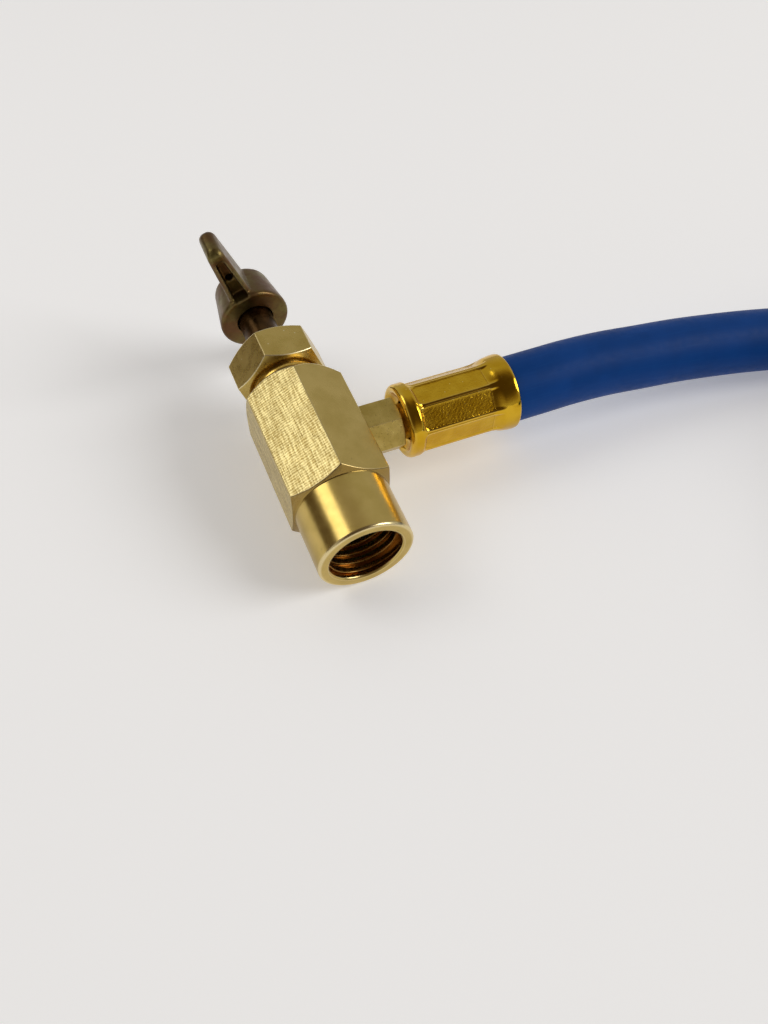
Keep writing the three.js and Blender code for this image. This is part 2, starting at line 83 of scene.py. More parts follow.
HUB_HEIGHT = 8.4
HUB_BOTTOM_RADIUS = 6.2
HUB_TOP_RADIUS = 4.8
WING_TURN = 20.8
WING_REACH = 15.9
WING_RISE = 2.0
WING_ROOT_WIDTH = 4.8
WING_TIP_WIDTH = 2.7
WING_ROOT_HEIGHT = 7.6
WING_TIP_HEIGHT = 6.0
WING_CORNER = 1.3
WING_RIM = 0.75
WING_HOLLOW_START = 5.6
WING_HOLLOW_END = 13.0
WING_HOLLOW_DEPTH = 1.6
WING_HOLE_AT = 9.0
WING_HOLE_RADIUS = 0.62

NIPPLE_ACROSS_FLATS = 8.0
NIPPLE_HEX_END = 6.0
NIPPLE_FACE_RADIUS = 3.9
NIPPLE_NECK_RADIUS = 2.7
NIPPLE_BORE_RADIUS = 1.3
BARB_RADIUS = 2.95
FERRULE_START = 6.3
FERRULE_LENGTH = 19.4

CHAMFER_SLOPE = math.tan(math.radians(30))
HEX_CORNER = HEX_ACROSS_FLATS / math.sqrt(3)
HEX_HALF = HEX_ACROSS_FLATS / 2
HEX_FRONT = HEX_START - (HEX_CORNER - COLLAR_RADIUS) * CHAMFER_SLOPE
BODY_TOP = HEX_END + HEX_CORNER - HEX_TOP_RADIUS
NUT_BOTTOM = BODY_TOP + 2.1
NUT_TOP = NUT_BOTTOM + 7.1
HUB_BOTTOM = NUT_TOP + 8.7

body_low, body_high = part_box("tap_body")
mouth = Vector((
    (body_low[0] + body_high[0]) / 2,
    body_low[1] + (COLLAR_RADIUS - COLLAR_EDGE) * MM * math.sin(TAP_TILT),
    (HEX_CORNER * math.cos(TAP_TILT) - HEX_START * math.sin(TAP_TILT)) * MM,
))
TAP_FRAME = (
    Matrix.Translation(mouth)
    @ Matrix.Rotation(-(math.pi / 2 - TAP_TILT), 4, "X")
    @ Matrix.Scale(MM, 4)
)
BRANCH_FRAME = (
    TAP_FRAME
    @ Matrix.Translation((HEX_HALF, 0, BRANCH_HEIGHT))
    @ Matrix.Rotation(math.pi / 2, 4, "Y")
)


def add_object(name, data):
    item = bpy.data.objects.new(name, data)
    bpy.context.collection.objects.link(item)
    return item


# Camera

CAMERA_AZIMUTH = math.radians(-22.89)
CAMERA_ELEVATION = math.radians(49.22)
CAMERA_FROM_MOUTH = Vector((-33.5, -85.8, 116.8)) * MM
CAMERA_LENS = 35.16


def make_camera():
    camera_data = bpy.data.cameras.new("photo_camera")
    camera_data.lens = CAMERA_LENS
    camera_data.sensor_width = 36.0
    camera_data.clip_start = 0.005
    camera = add_object("photo_camera", camera_data)
    turn = Matrix.Rotation(CAMERA_AZIMUTH, 4, "Z") @ Matrix.Rotation(math.pi / 2 - CAMERA_ELEVATION, 4, "X")
    camera.matrix_world = Matrix.Translation(mouth + CAMERA_FROM_MOUTH) @ turn
    bpy.context.scene.camera = camera


# Mesh helpers

def new_piece(name, vertices, faces, place=None):
    mesh = bpy.data.meshes.new(name)
    mesh.from_pydata([tuple(v) for v in vertices], [], [tuple(f) for f in faces])
    if place is not None:
        mesh.transform(place)
    mesh.validate()
    mesh.update()
    mesh.shade_smooth()
    return add_object(name, mesh)


def modified_mesh(piece):
    """The piece's mesh with its modifiers applied. The piece itself is left without them."""
    evaluated = piece.evaluated_get(bpy.context.evaluated_depsgraph_get())
    mesh = bpy.data.meshes.new_from_object(evaluated)
    piece.modifiers.clear()
    return mesh


def finish_piece(piece, body, slot, material, *nodes):
    piece.data.materials.clear()
    piece.data.materials.append(material)
    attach(piece, body)
    if nodes:
        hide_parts(*nodes)


def rounded(points, radius=0.15, steps=4, closed=False):
    """A profile whose corners are short arcs, each held by a point just before and after it.

    A point may give its own arc radius as a third number.
    """
    path = [np.array(p[:2], float) for p in points]
    radii = [p[2] if len(p) > 2 else radius for p in points]
    count = len(path)
    inner = range(count) if closed else range(1, count - 1)
    result = [] if closed else [path[0]]
    for i in inner:
        before = path[i - 1] - path[i]
        after = path[(i + 1) % count] - path[i]
        room, room_after = np.linalg.norm(before), np.linalg.norm(after)
        reach = min(radii[i], room * 0.45, room_after * 0.45)
        start_way = before / max(room, 1e-9)
        end_way = after / max(room_after, 1e-9)
        start = path[i] + start_way * reach
        end = path[i] + end_way * reach
        result.append(start + start_way * min(0.04, room * 0.04))
        for k in range(steps + 1):
            t = k / steps
            result.append((1 - t) ** 2 * start + 2 * t * (1 - t) * path[i] + t ** 2 * end)
        result.append(end + end_way * min(0.04, room_after * 0.04))
    if not closed:
        result.append(path[-1])
    return result


def strip_faces(rows):
    """Faces between each row of points and the next, where a point may stand for a whole row."""
    faces = []
    for low, high in zip(rows, rows[1:]):
        for k in range(len(low)):
            n = (k + 1) % len(low)
            corners = [low[k], low[n], high[n], high[k]]
            face = [c for i, c in enumerate(corners) if c != corners[i - 1]]
            if len(face) > 2:
                faces.append(face)
    return faces


def ringed(name, angles, profiles, place, closed=True):
    """A mesh about Z with one profile of [radius, height] points for each angle, in degrees.

    The profiles go up the outside and back down the inside. An open one starts and ends on the axis.
    """
    table = np.array(profiles)
    sides, rings = table.shape[:2]
    turns = np.radians(angles)
    vertices = []
    rows = []
    for ring in range(rings):
        if table[:, ring, 0].max() < 1e-6:
            rows.append([len(vertices)] * sides)
            vertices.append((0, 0, table[0, ring, 1]))
        else:
            rows.append(list(range(len(vertices), len(vertices) + sides)))
            for (radius, height), turn in zip(table[:, ring], turns):
                vertices.append((radius * math.cos(turn), radius * math.sin(turn), height))
    return new_piece(name, vertices, strip_faces(rows + rows[:1] if closed else rows), place)


def turned(name, points, place, radius=0.15, sides=144, closed=True, steps=4):
    """A turned piece about Z, with its corners rounded."""
    profile = rounded(points, radius, steps, closed)
    angles = [360 * k / sides for k in range(sides)]
    return ringed(name, angles, [profile] * sides, place, closed)


def hex_angles(corner, spacing=3.0):
    """Angles round a hexagonal piece, closer together at its six corners."""
    near = [0, 0.25, 0.5, 0.75, 1.0, 1.25, 1.6, 2.2]
    between = np.arange(spacing, 60 - spacing + 0.1, spacing)
    side = [*near, *between, *(60 - a for a in near[:0:-1])]
    return [corner + 60 * k + a for k in range(6) for a in side]


def hex_radius(angle, across_flats, corner, edge):
    """How far a hexagon with slightly rounded corners reaches at an angle."""
    off = abs((angle - corner + 30) % 60 - 30)
    centre = (across_flats / 2 - edge) / math.cos(math.radians(30))
    tangent = math.degrees(math.atan2(edge * 0.5, centre + edge * math.cos(math.radians(30))))
    if off < tangent:
        turn = math.radians(off)
        return centre * math.cos(turn) + math.sqrt(edge ** 2 - (centre * math.sin(turn)) ** 2)
    return across_flats / 2 / math.cos(math.radians(30 - off))


def hexagonal(name, across_flats, corner, edge, profile, place):
    """A hexagonal piece about Z, from the profile it has where it reaches a given radius."""
    angles = hex_angles(corner)
    profiles = [rounded(profile(hex_radius(a, across_flats, corner, edge)), closed=True) for a in angles]
    piece = ringed(name, angles, profiles, place)
    mark_edges(piece)
    return piece


def set_marks(piece, name, marks):
    piece.data.attributes.new(name, "FLOAT", "POINT").data.foreach_set("value", np.asarray(marks, float))


def mark_edges(piece, low=5.0, high=18.0):
    """Marks how sharp the outer edges and the inner corners are at each vertex, for wear and dirt."""
    shape = bmesh.new()
    shape.from_mesh(piece.data)
    edge_mark = np.zeros(len(shape.verts))
    groove_mark = np.zeros(len(shape.verts))
    for edge in shape.edges:
        if len(edge.link_faces) != 2:
            continue
        bend = math.degrees(edge.calc_face_angle_signed(0))
        amount = min(max((abs(bend) - low) / (high - low), 0), 1)
        marks = edge_mark if bend > 0 else groove_mark
        for vertex in edge.verts:
            marks[vertex.index] = max(marks[vertex.index], amount)
    shape.free()
    set_marks(piece, "edge_wear", edge_mark)
    set_marks(piece, "groove_dirt", groove_mark)


# Node trees

class Nodes:
    """A node tree whose nodes are added together with their settings and inputs."""

    def __init__(self, tree):
        self.tree = tree

    def feed(self, node, inputs):
        """Links each input to the socket given for it, or sets it to the value given."""
        for key, value in inputs.items():
            if isinstance(value, bpy.types.NodeSocket):
                self.tree.links.new(value, node.inputs[key])
            else:
                node.inputs[key].default_value = value

    def add(self, kind, inputs=None, **settings):
        node = self.tree.nodes.new(kind)
        for key, value in settings.items():
            setattr(node, key, value)
        self.feed(node, inputs or {})
        return node

    def math(self, operation, first, second):
        return self.add("ShaderNodeMath", {0: first, 1: second}, operation=operation).outputs[0]

    def ranged(self, value, low, high, to_low, to_high, **settings):
        inputs = {"Value": value, "From Min": low, "From Max": high, "To Min": to_low, "To Max": to_high}
        return self.add("ShaderNodeMapRange", inputs, **settings).outputs["Result"]

    def mix(self, amount, first, second):
        """A colour between two colours, each a socket or three numbers."""
        inputs = {0: amount}
        for key, value in ((6, first), (7, second)):
            inputs[key] = (*value, 1) if isinstance(value, tuple) else value
        return self.add("ShaderNodeMix", inputs, data_type="RGBA").outputs[2]


# Rule trees

class RuleTree(Nodes):
    """A Geometry Nodes tree with named sizes, which ends in realized, finished mesh."""

    def __init__(self, name, sizes):
        super().__init__(bpy.data.node_groups.new(name, "GeometryNodeTree"))
        self.new_socket("Geometry", "OUTPUT", "Geometry")
        self.inputs = {}
        for size in sizes:
            kind = "Int" if size.startswith("Number") else "Float"
            self.inputs[size] = self.new_socket(size, "INPUT", kind)
        self.inputs["Finish"] = self.new_socket("Finish", "INPUT", "Material")
        self.sizes = self.add("NodeGroupInput")

    def new_socket(self, name, way, kind):
        socket = self.tree.interface.new_socket(name=name, in_out=way, socket_type="NodeSocket" + kind)
        return socket.identifier

    def size(self, name):
        return self.sizes.outputs[name]

    def end(self, geometry):
        realize = self.add("GeometryNodeRealizeInstances", {0: geometry})
        smooth = self.add("GeometryNodeSetShadeSmooth", {0: realize.outputs[0]})
        finish = self.add("GeometryNodeSetMaterial", {0: smooth.outputs[0], "Material": self.size("Finish")})
        self.add("NodeGroupOutput", {0: finish.outputs[0]})

    def make(self, name, sizes, material, place):
        """Runs the tree with the given sizes and keeps the result as a plain mesh."""
        start = add_object(name + "_rule", bpy.data.meshes.new(name + "_rule"))
        modifier = start.modifiers.new("rule", "NODES")
        modifier.node_group = self.tree
        for size, value in sizes.items():
            modifier[self.inputs[size]] = value
        modifier[self.inputs["Finish"]] = material
        mesh = modified_mesh(start)
        bpy.data.objects.remove(start)
        mesh.transform(place)
        mesh.name = name
        return add_object(name, mesh)


def thread_rule():
    """One right-hand thread ridge wound on a wall: outwards on a shank, inwards in a bore."""
    rule = RuleTree("thread_ridge", [
        "Wall radius", "Pitch", "Turns", "Root width", "Crest width", "Height", "Side turn", "Runout",
    ])
    turns = rule.size("Turns")
    spiral = rule.add("GeometryNodeCurveSpiral", {
        "Resolution": 96,
        "Reverse": True,
        "Rotations": turns,
        "Start Radius": rule.size("Wall radius"),
        "End Radius": rule.size("Wall radius"),
        "Height": rule.math("MULTIPLY", rule.size("Pitch"), turns),
    })
    upright = rule.add("GeometryNodeSetCurveNormal", {"Curve": spiral.outputs[0]}, mode="Z_UP")
    section = rule.add("GeometryNodeCurvePrimitiveQuadrilateral", mode="TRAPEZOID")
    rule.feed(section, {
        "Offset": 0,
        "Height": rule.math("MULTIPLY", rule.size("Height"), 2),
        "Bottom Width": rule.size("Root width"),
        "Top Width": rule.size("Crest width"),
    })
    turn = rule.add("ShaderNodeCombineXYZ", {"Z": rule.size("Side turn")})
    sideways = rule.add("GeometryNodeTransform", {
        "Geometry": section.outputs["Curve"], "Rotation": turn.outputs[0],
    })
    eased = rule.add("GeometryNodeFilletCurve", mode="POLY")
    rule.feed(eased, {"Count": 2, "Radius": 0.09, "Curve": sideways.outputs[0]})

    # The ridge sinks into its wall over the last part of a turn at both ends
    along = rule.add("GeometryNodeSplineParameter").outputs["Factor"]
    nearest = rule.math("MINIMUM", along, rule.math("SUBTRACT", 1, along))
    grown = rule.math("DIVIDE", rule.math("MULTIPLY", nearest, turns), rule.size("Runout"))
    sweep = rule.add("GeometryNodeCurveToMesh", {
        "Fill Caps": True,
        "Curve": upright.outputs[0],
        "Profile Curve": eased.outputs[0],
        "Scale": rule.math("MAXIMUM", rule.math("MINIMUM", grown, 1), 0.04),
    })
    rule.end(sweep.outputs["Mesh"])
    return rule


def knurl_rule():
    """Straight grip ridges along a round nut, evenly spaced on its rim."""
    rule = RuleTree("grip_ridges", ["Rim radius", "Number of ridges", "Ridge length", "Ridge size"])
    circle = rule.add("GeometryNodeMeshCircle", {
        "Vertices": rule.size("Number of ridges"), "Radius": rule.size("Rim radius"),
    })
    ridge = rule.add("GeometryNodeMeshCone", {
        "Vertices": 4,
        "Side Segments": 1,
        "Radius Bottom": rule.size("Ridge size"),
        "Radius Top": rule.size("Ridge size"),
        "Depth": rule.size("Ridge length"),
    }, fill_type="NGON")
    outwards = rule.add("FunctionNodeAlignRotationToVector", axis="X", pivot_axis="Z")
    rule.feed(outwards, {"Vector": rule.add("GeometryNodeInputPosition").outputs[0]})
    spread = rule.add("GeometryNodeInstanceOnPoints", {
        "Points": circle.outputs[0], "Instance": ridge.outputs["Mesh"], "Rotation": outwards.outputs[0],
    })
    rule.end(spread.outputs[0])
    return rule


# Finishes

TAP_TURN = (math.pi / 2 - TAP_TILT, 0, 0)


class Finish(Nodes):
    """A material whose patterns sit on the piece's own place, in millimetres.

    Its colour is laid on in steps, each over the one before.
    """

    def __init__(self, name, metallic=1.0, turn=TAP_TURN):
        self.material = bpy.data.materials.new(name)
        self.material.use_nodes = True
        super().__init__(self.material.node_tree)
        self.shader = self.tree.nodes["Principled BSDF"]
        self.feed(self.shader, {"Metallic": metallic})
        place = self.add("ShaderNodeTexCoord").outputs["Object"]
        mapping = self.add("ShaderNodeMapping", {"Vector": place, "Rotation": turn, "Scale": (1000, 1000, 1000)})
        self.place = mapping.outputs["Vector"]
        self.relief = None
        self.colour = None

    def noise(self, scale, stretch=(1, 1, 1), detail=3.0, rough=0.5, distortion=0.0):
        mapping = self.add("ShaderNodeMapping", {"Vector": self.place, "Scale": stretch})
        return self.add("ShaderNodeTexNoise", {
            "Scale": scale,
            "Detail": detail,
            "Roughness": rough,
            "Distortion": distortion,
            "Vector": mapping.outputs["Vector"],
        }).outputs["Fac"]

    def spots(self, scale, size):
        """Small round spots, 1 inside and 0 outside."""
        cells = self.add("ShaderNodeTexVoronoi", {"Scale": scale, "Vector": self.place})
        return self.ranged(cells.outputs["Distance"], size, size * 0.5, 0, 1)

    def lines(self, spacing, waver):
        """Lines round the axis, repeated along it, 0 between and 1 on a line."""
        return self.add("ShaderNodeTexWave", {
            "Scale": 2 * math.pi / 20 / spacing,
            "Distortion": waver,
            "Detail": 2,
            "Detail Scale": 1.2,
            "Vector": self.place,
        }, bands_direction="Z").outputs["Fac"]

    def attribute(self, name):
        return self.add("ShaderNodeAttribute", attribute_name=name).outputs["Fac"]

    def varied(self, scale, detail, low, high):
        """A number that a noise varies between two."""
        return self.ranged(self.noise(scale, detail=detail), 0.3, 0.7, low, high)

    def ground(self, noise, first, second, spread=0.15):
        """Starts the colour, which a noise shades from the first to the second."""
        self.colour = self.mix(self.ranged(noise, 0.5 - spread, 0.5 + spread, 0, 1), first, second)

    def lay(self, amount, colour):
        self.colour = self.mix(amount, self.colour, colour)

    def lay_on(self, mark, share, colour):
        """Lays a share of a colour where the piece carries a mark."""
        self.lay(self.math("MULTIPLY", self.attribute(mark), share), colour)

    def raise_by(self, height, depth, strength):
        """Adds relief of about the given depth in millimetres."""
        bump = self.add("ShaderNodeBump", {"Strength": strength, "Distance": depth * MM, "Height": height})
        if self.relief is not None:
            self.feed(bump, {"Normal": self.relief})
        self.relief = bump.outputs["Normal"]

    def finish(self, roughness):
        self.feed(self.shader, {"Base Color": self.colour, "Roughness": roughness, "Normal": self.relief})
        return self.material


def body_brass():
    """Brass bar: sawn hatching on some flats, turning lines on the collar, scratches and pits, with painted
    shade on the wall inside the can port and a painted dark reflection on the front chamfers.
    """
    f = Finish("body_brass")
    sawn = f.attribute("sawn_flat")
    along = f.ranged(f.noise(2.3, (1.5, 1.5, 0.1), 1.0), 0.38, 0.62, 0, 0.34)
    patchy = f.ranged(f.noise(2.4, detail=2), 0.35, 0.65, 0, 0.3)
    hatch = f.math("ADD", f.math("MULTIPLY", f.lines(0.45, 2.4), 0.36), along)
    hatch = f.math("ADD", hatch, patchy)
    f.ground(f.noise(0.28), (0.55, 0.395, 0.105), (0.63, 0.46, 0.14))
    f.lay(sawn, f.mix(f.ranged(hatch, 0.15, 0.8, 0, 1), (0.36, 0.25, 0.07), (0.86, 0.72, 0.33)))
    specks = f.ranged(f.noise(5.5, (1, 1, 0.35), 2), 0.66, 0.72, 0, 1)
    f.lay(f.math("MULTIPLY", specks, sawn), (0.30, 0.20, 0.06))
    scratches = f.noise(0.9, (1.2, 4.5, 0.5), 3, 0.6, 1.2)
    f.lay(f.ranged(scratches, 0.70, 0.72, 0, 0.3), (0.36, 0.25, 0.08))
    f.lay_on("groove_dirt", 0.75, (0.22, 0.13, 0.03))
    f.lay_on("edge_wear", 0.6, (0.88, 0.76, 0.46))
    nicks = f.noise(1.3, (1.0, 2.2, 0.6), 2.5, 0.6, 0.8)
    f.lay(f.ranged(nicks, 0.735, 0.75, 0, 0.75), (0.22, 0.14, 0.05))
    # Painted shade: the wall inside the can port is coloured darker and redder for the shadow inside it.
    f.lay_on("port_wall_painted_shade", 1.0, (0.36, 0.19, 0.045))
    # Painted reflection: the front chamfers are coloured dark brown for the dark surroundings they mirror.
    f.lay_on("chamfer", 0.85, (0.30, 0.19, 0.05))
    f.raise_by(f.noise(2.2, (0.08, 0.08, 1.4), 2), 0.003, 0.3)
    f.raise_by(f.math("MULTIPLY", hatch, sawn), 0.035, 0.8)
    f.raise_by(f.noise(0.35, detail=1), 0.02, 0.3)
    return f.finish(f.math("ADD", f.varied(0.6, 2, 0.20, 0.26), f.math("MULTIPLY", sawn, 0.14)))


def nut_brass():
    """The packing nut: smoother and a little darker, with bright worn edges."""
    f = Finish("nut_brass")
    f.ground(f.noise(0.35), (0.50, 0.355, 0.09), (0.59, 0.43, 0.13))
    f.lay(f.spots(0.7, 0.09), (0.90, 0.80, 0.50))
    f.lay_on("groove_dirt", 0.8, (0.30, 0.16, 0.03))
    f.lay_on("edge_wear", 0.8, (0.94, 0.84, 0.54))
    f.raise_by(f.noise(2.0, (0.2, 0.2, 1.5), 2), 0.002, 0.4)
    f.raise_by(f.noise(0.35, detail=1), 0.015, 0.3)
    return f.finish(f.varied(0.7, 3, 0.24, 0.32))


def thread_brass(name, low, high):
    """Cut threads: deeper golden, with dark oil in the roots."""
    f = Finish(name)
    f.ground(f.noise(0.8), low, high, 0.2)
    f.lay_on("groove_dirt", 0.8, (0.20, 0.10, 0.02))
    f.raise_by(f.noise(0.8, (1, 1, 3), 1), 0.008, 0.4)
    return f.finish(f.varied(1.0, 2, 0.22, 0.32))


def nipple_brass():
    """The hose nipple and the far tailpiece: pale brass with fine pitting and dark specks."""
    f = Finish("nipple_brass")
    f.ground(f.noise(0.6, detail=4), (0.46, 0.33, 0.08), (0.58, 0.43, 0.125))
    f.lay(f.ranged(f.noise(4.5, detail=2.5), 0.63, 0.69, 0, 0.85), (0.20, 0.13, 0.04))
    f.lay_on("groove_dirt", 0.8, (0.16, 0.09, 0.02))
    f.lay_on("edge_wear", 0.7, (0.90, 0.78, 0.46))
    f.raise_by(f.noise(3.5), 0.012, 0.6)
    return f.finish(f.varied(1.6, 4, 0.26, 0.42))


def stem_brass():
    """The valve stem: turned brass, coloured very dark brown all over as painted shade for the shadow it stands
    in between the nut and the hub.
    """
    f = Finish("stem_brass")
    f.ground(f.noise(0.7, detail=4), (0.05, 0.026, 0.009), (0.10, 0.052, 0.018))
    f.lay_on("edge_wear", 0.3, (0.30, 0.20, 0.09))
    f.raise_by(f.noise(2.5, (0.2, 0.2, 5), 2), 0.004, 0.5)
    return f.finish(f.varied(1.4, 3, 0.25, 0.4))


def ferrule_gold():
    """Polished gold-coloured shell: orange-peel floors in the pressed panels, bright edges."""
    f = Finish("ferrule_gold", turn=(0, 0, 0))
    pressed = f.attribute("pressed_panel")
    f.ground(f.noise(0.4, detail=2), (0.62, 0.355, 0.016), (0.70, 0.43, 0.028))
    f.lay_on("groove_dirt", 0.7, (0.42, 0.17, 0.01))
    f.lay_on("edge_wear", 0.45, (0.96, 0.72, 0.20))
    f.lay(f.spots(0.9, 0.07), (0.95, 0.80, 0.42))
    f.raise_by(f.math("MULTIPLY", f.noise(2.6, detail=2), f.ranged(pressed, 0, 1, 0.15, 1)), 0.065, 0.85)
    f.raise_by(f.noise(0.5, detail=1), 0.04, 0.35)
    return f.finish(f.math("ADD", f.varied(0.8, 3, 0.09, 0.15), f.math("MULTIPLY", pressed, 0.08)))


def handle_chromate():
    """Cast handle: chromate that shades from olive to reddish brown, bare metal on worn edges."""
    f = Finish("handle_chromate", 0.9)
    f.ground(f.noise(0.22, distortion=0.4), (0.165, 0.13, 0.04), (0.13, 0.068, 0.022), 0.12)
    tint = f.noise(0.35, (1, 1, 0.6), 2, distortion=0.8)
    f.lay(f.ranged(tint, 0.5, 0.72, 0, 0.5), (0.16, 0.066, 0.032))
    f.lay(f.ranged(f.noise(1.6, detail=4), 0.52, 0.7, 0, 0.5), (0.10, 0.055, 0.02))
    f.lay_on("groove_dirt", 0.8, (0.05, 0.02, 0.008))
    f.lay_on("edge_wear", 0.7, (0.55, 0.45, 0.22))
    f.raise_by(f.noise(1.5), 0.06, 0.45)
    f.raise_by(f.noise(0.4, detail=1), 0.12, 0.4)
    return f.finish(f.varied(0.9, 3, 0.28, 0.44))


def hose_rubber():
    """Smooth blue rubber: matt, faintly mottled, with fine marks along the hose."""
    f = Finish("hose_blue_rubber", 0.0)
    f.place = f.add("ShaderNodeUVMap", uv_map="along_hose").outputs["UV"]
    f.ground(f.noise(0.12), (0.0025, 0.046, 0.215), (0.004, 0.056, 0.26))
    f.lay(f.ranged(f.noise(1.2, (0.08, 2.5, 1)), 0.55, 0.75, 0, 0.4), (0.007, 0.07, 0.28))
    f.lay(f.ranged(f.noise(4.5, detail=2), 0.70, 0.76, 0, 0.35), (0.03, 0.11, 0.33))
    f.raise_by(f.noise(3.0), 0.02, 0.5)
    f.raise_by(f.noise(0.25, (0.4, 1, 1), 2), 0.15, 0.3)
    f.feed(f.shader, {"Specular IOR Level": 0.1})
    return f.finish(f.varied(0.9, 3, 0.40, 0.54))


def seal_rubber(name, low, high):
    """Moulded rubber for the seal, the gasket and the tie."""
    f = Finish(name, 0.0)
    f.ground(f.noise(0.8), low, high)
    f.lay(f.ranged(f.noise(5, detail=2), 0.66, 0.74, 0, 0.5), tuple(4 * c for c in high))
    f.raise_by(f.noise(3), 0.03, 0.6)
    return f.finish(f.varied(1.2, 3, 0.45, 0.65))


# Tap body

def hex_front(reach):
    return HEX_FRONT + (reach - COLLAR_RADIUS) * CHAMFER_SLOPE


def make_tap_body(material):
    """The hexagonal bar with scalloped ends, its turned collar and the passage through it."""
    gland_bottom = BODY_TOP - GLAND_DEPTH
    body = hexagonal("tap_body_bar", HEX_ACROSS_FLATS, 30, 0.28, lambda reach: [
        (PORT_MOUTH_RADIUS, 0.0, 0.12), (COLLAR_RADIUS, 0.0, 0.5),
        (COLLAR_RADIUS, HEX_FRONT, 0.12), (reach, hex_front(reach), 0.14),
        (reach, BODY_TOP - (reach - HEX_TOP_RADIUS), 0.16), (HEX_TOP_RADIUS, BODY_TOP, 0.2),
        (GLAND_RADIUS + 0.35, BODY_TOP, 0.08), (GLAND_RADIUS, BODY_TOP - 0.35, 0.08),
        (GLAND_RADIUS, gland_bottom, 0.1), (CHAMBER_RADIUS, gland_bottom, 0.1),
        (CHAMBER_RADIUS, CHAMBER_START, 0.1), (STEM_LOWER_RADIUS, CHAMBER_START, 0.1),
        (STEM_LOWER_RADIUS, PORT_DEPTH, 0.1), (PORT_MAJOR_RADIUS, PORT_DEPTH, 0.15),
        (PORT_MAJOR_RADIUS, 1.2, 0.1), (PORT_MOUTH_RADIUS - 0.3, 0.75, 0.12),
        (PORT_MOUTH_RADIUS - 0.3, 0.3, 0.12),
    ], TAP_FRAME)
    back_to_upright = TAP_FRAME.inverted()
    marks = {"sawn_flat": [], "port_wall_painted_shade": [], "chamfer": []}
    for vertex in body.data.vertices:
        x, y, height = back_to_upright @ vertex.co
        angle = math.degrees(math.atan2(y, x))
        reach = math.hypot(x, y)
        side = round(angle / 60)
        on_flat = reach > HEX_HALF - 0.05 and abs(angle - 60 * side) < 29.6
        between_ends = HEX_FRONT + 0.1 < height < BODY_TOP - 0.9
        marks["sawn_flat"].append(on_flat and between_ends and side % 6 in SAWN_SIDES)
        # The inside of the can port is marked for painted shade.
        marks["port_wall_painted_shade"].append(reach < PORT_MAJOR_RADIUS + 0.05 and height > 0.35)
        # The front chamfers are marked for a painted dark reflection.
        marks["chamfer"].append(reach > COLLAR_RADIUS + 0.1 and height < hex_front(reach) + 0.05)
    for name, values in marks.items():
        set_marks(body, name, values)
    finish_piece(body, "tap", "tap_brass", material, "tap_body")


def make_port_thread(rule, material):
    thread = rule.make("can_port_thread", {
        "Wall radius": PORT_MAJOR_RADIUS + 0.02, "Pitch": PORT_PITCH,
        "Turns": (SEAL_BOTTOM - 1.9) / PORT_PITCH, "Root width": 1.05,
        "Crest width": 0.5, "Height": PORT_MAJOR_RADIUS - PORT_MINOR_RADIUS,
        "Side turn": -math.pi / 2, "Runout": 0.35,
    }, material, TAP_FRAME @ Matrix.Translation((0, 0, 1.1)))
    mark_edges(thread)
    finish_piece(thread, "tap", "tap_brass", material)


def make_can_seal(material):
    seal = turned("can_seal_washer", [
        (1.7, SEAL_BOTTOM + 0.15, 0.1), (2.4, SEAL_BOTTOM, 0.2),
        (4.9, SEAL_BOTTOM, 0.3), (5.2, SEAL_BOTTOM + 0.25, 0.2),
        (5.9, SEAL_BOTTOM + 0.2, 0.2), (6.05, SEAL_BOTTOM + 0.4, 0.15),
        (6.05, SEAL_TOP, 0.2), (1.7, SEAL_TOP, 0.2),
    ], TAP_FRAME, sides=96)
    finish_piece(seal, "tap", "seal_rubber", material, "can_seal")


def make_packing_nut(material):
    """The hexagonal nut, chamfered at both ends, and its shank down into the gland."""
    shank_bottom = BODY_TOP - GLAND_DEPTH + 0.3
    bore = STEM_RADIUS + 0.3
    nut = hexagonal("packing_nut_hex", NUT_ACROSS_FLATS, NUT_CORNER, 0.22, lambda reach: [
        (bore, shank_bottom, 0.1), (NUT_SHANK_RADIUS, shank_bottom, 0.3),
        (NUT_SHANK_RADIUS, NUT_BOTTOM, 0.12), (NUT_FACE_RADIUS, NUT_BOTTOM, 0.1),
        (reach, NUT_BOTTOM + (reach - NUT_FACE_RADIUS) * CHAMFER_SLOPE, 0.14),
        (reach, NUT_TOP - (reach - NUT_FACE_RADIUS) * CHAMFER_SLOPE, 0.14),
        (NUT_FACE_RADIUS, NUT_TOP, 0.14), (bore + 0.5, NUT_TOP, 0.1), (bore, NUT_TOP - 0.5, 0.1),
    ], TAP_FRAME)
    finish_piece(nut, "tap", "nut_brass", material, "packing_nut")


def make_neck_thread(rule, material):
    thread = rule.make("packing_nut_thread", {
        "Wall radius": NUT_SHANK_RADIUS - 0.02, "Pitch": 1.0,
        "Turns": 4.6, "Root width": 0.9,
        "Crest width": 0.2, "Height": 0.5,
        "Side turn": math.pi / 2, "Runout": 0.3,
    }, material, TAP_FRAME @ Matrix.Translation((0, 0, NUT_BOTTOM - 4.7)))
    mark_edges(thread)
    finish_piece(thread, "tap", "nut_brass", material)


def make_valve_stem(material):
    floor = HUB_BOTTOM + STEM_IN_HUB
    stem = turned("valve_stem_rod", [
        (0, NEEDLE_TIP), (0.25, NEEDLE_TIP, 0.1),
        (1.2, NEEDLE_TIP + 3.0, 0.2), (1.2, NEEDLE_TIP + 6.5, 0.2),
        (STEM_LOWER_RADIUS, NEEDLE_TIP + 7.9, 0.2), (STEM_LOWER_RADIUS, STEM_STEP, 0.1),
        (STEM_RADIUS, STEM_STEP, 0.1), (STEM_RADIUS, floor, 0.2), (0, floor),
    ], TAP_FRAME, sides=72, closed=False)
    mark_edges(stem)
    finish_piece(stem, "stem", "stem_brass", material, "valve_stem")


# Wing handle

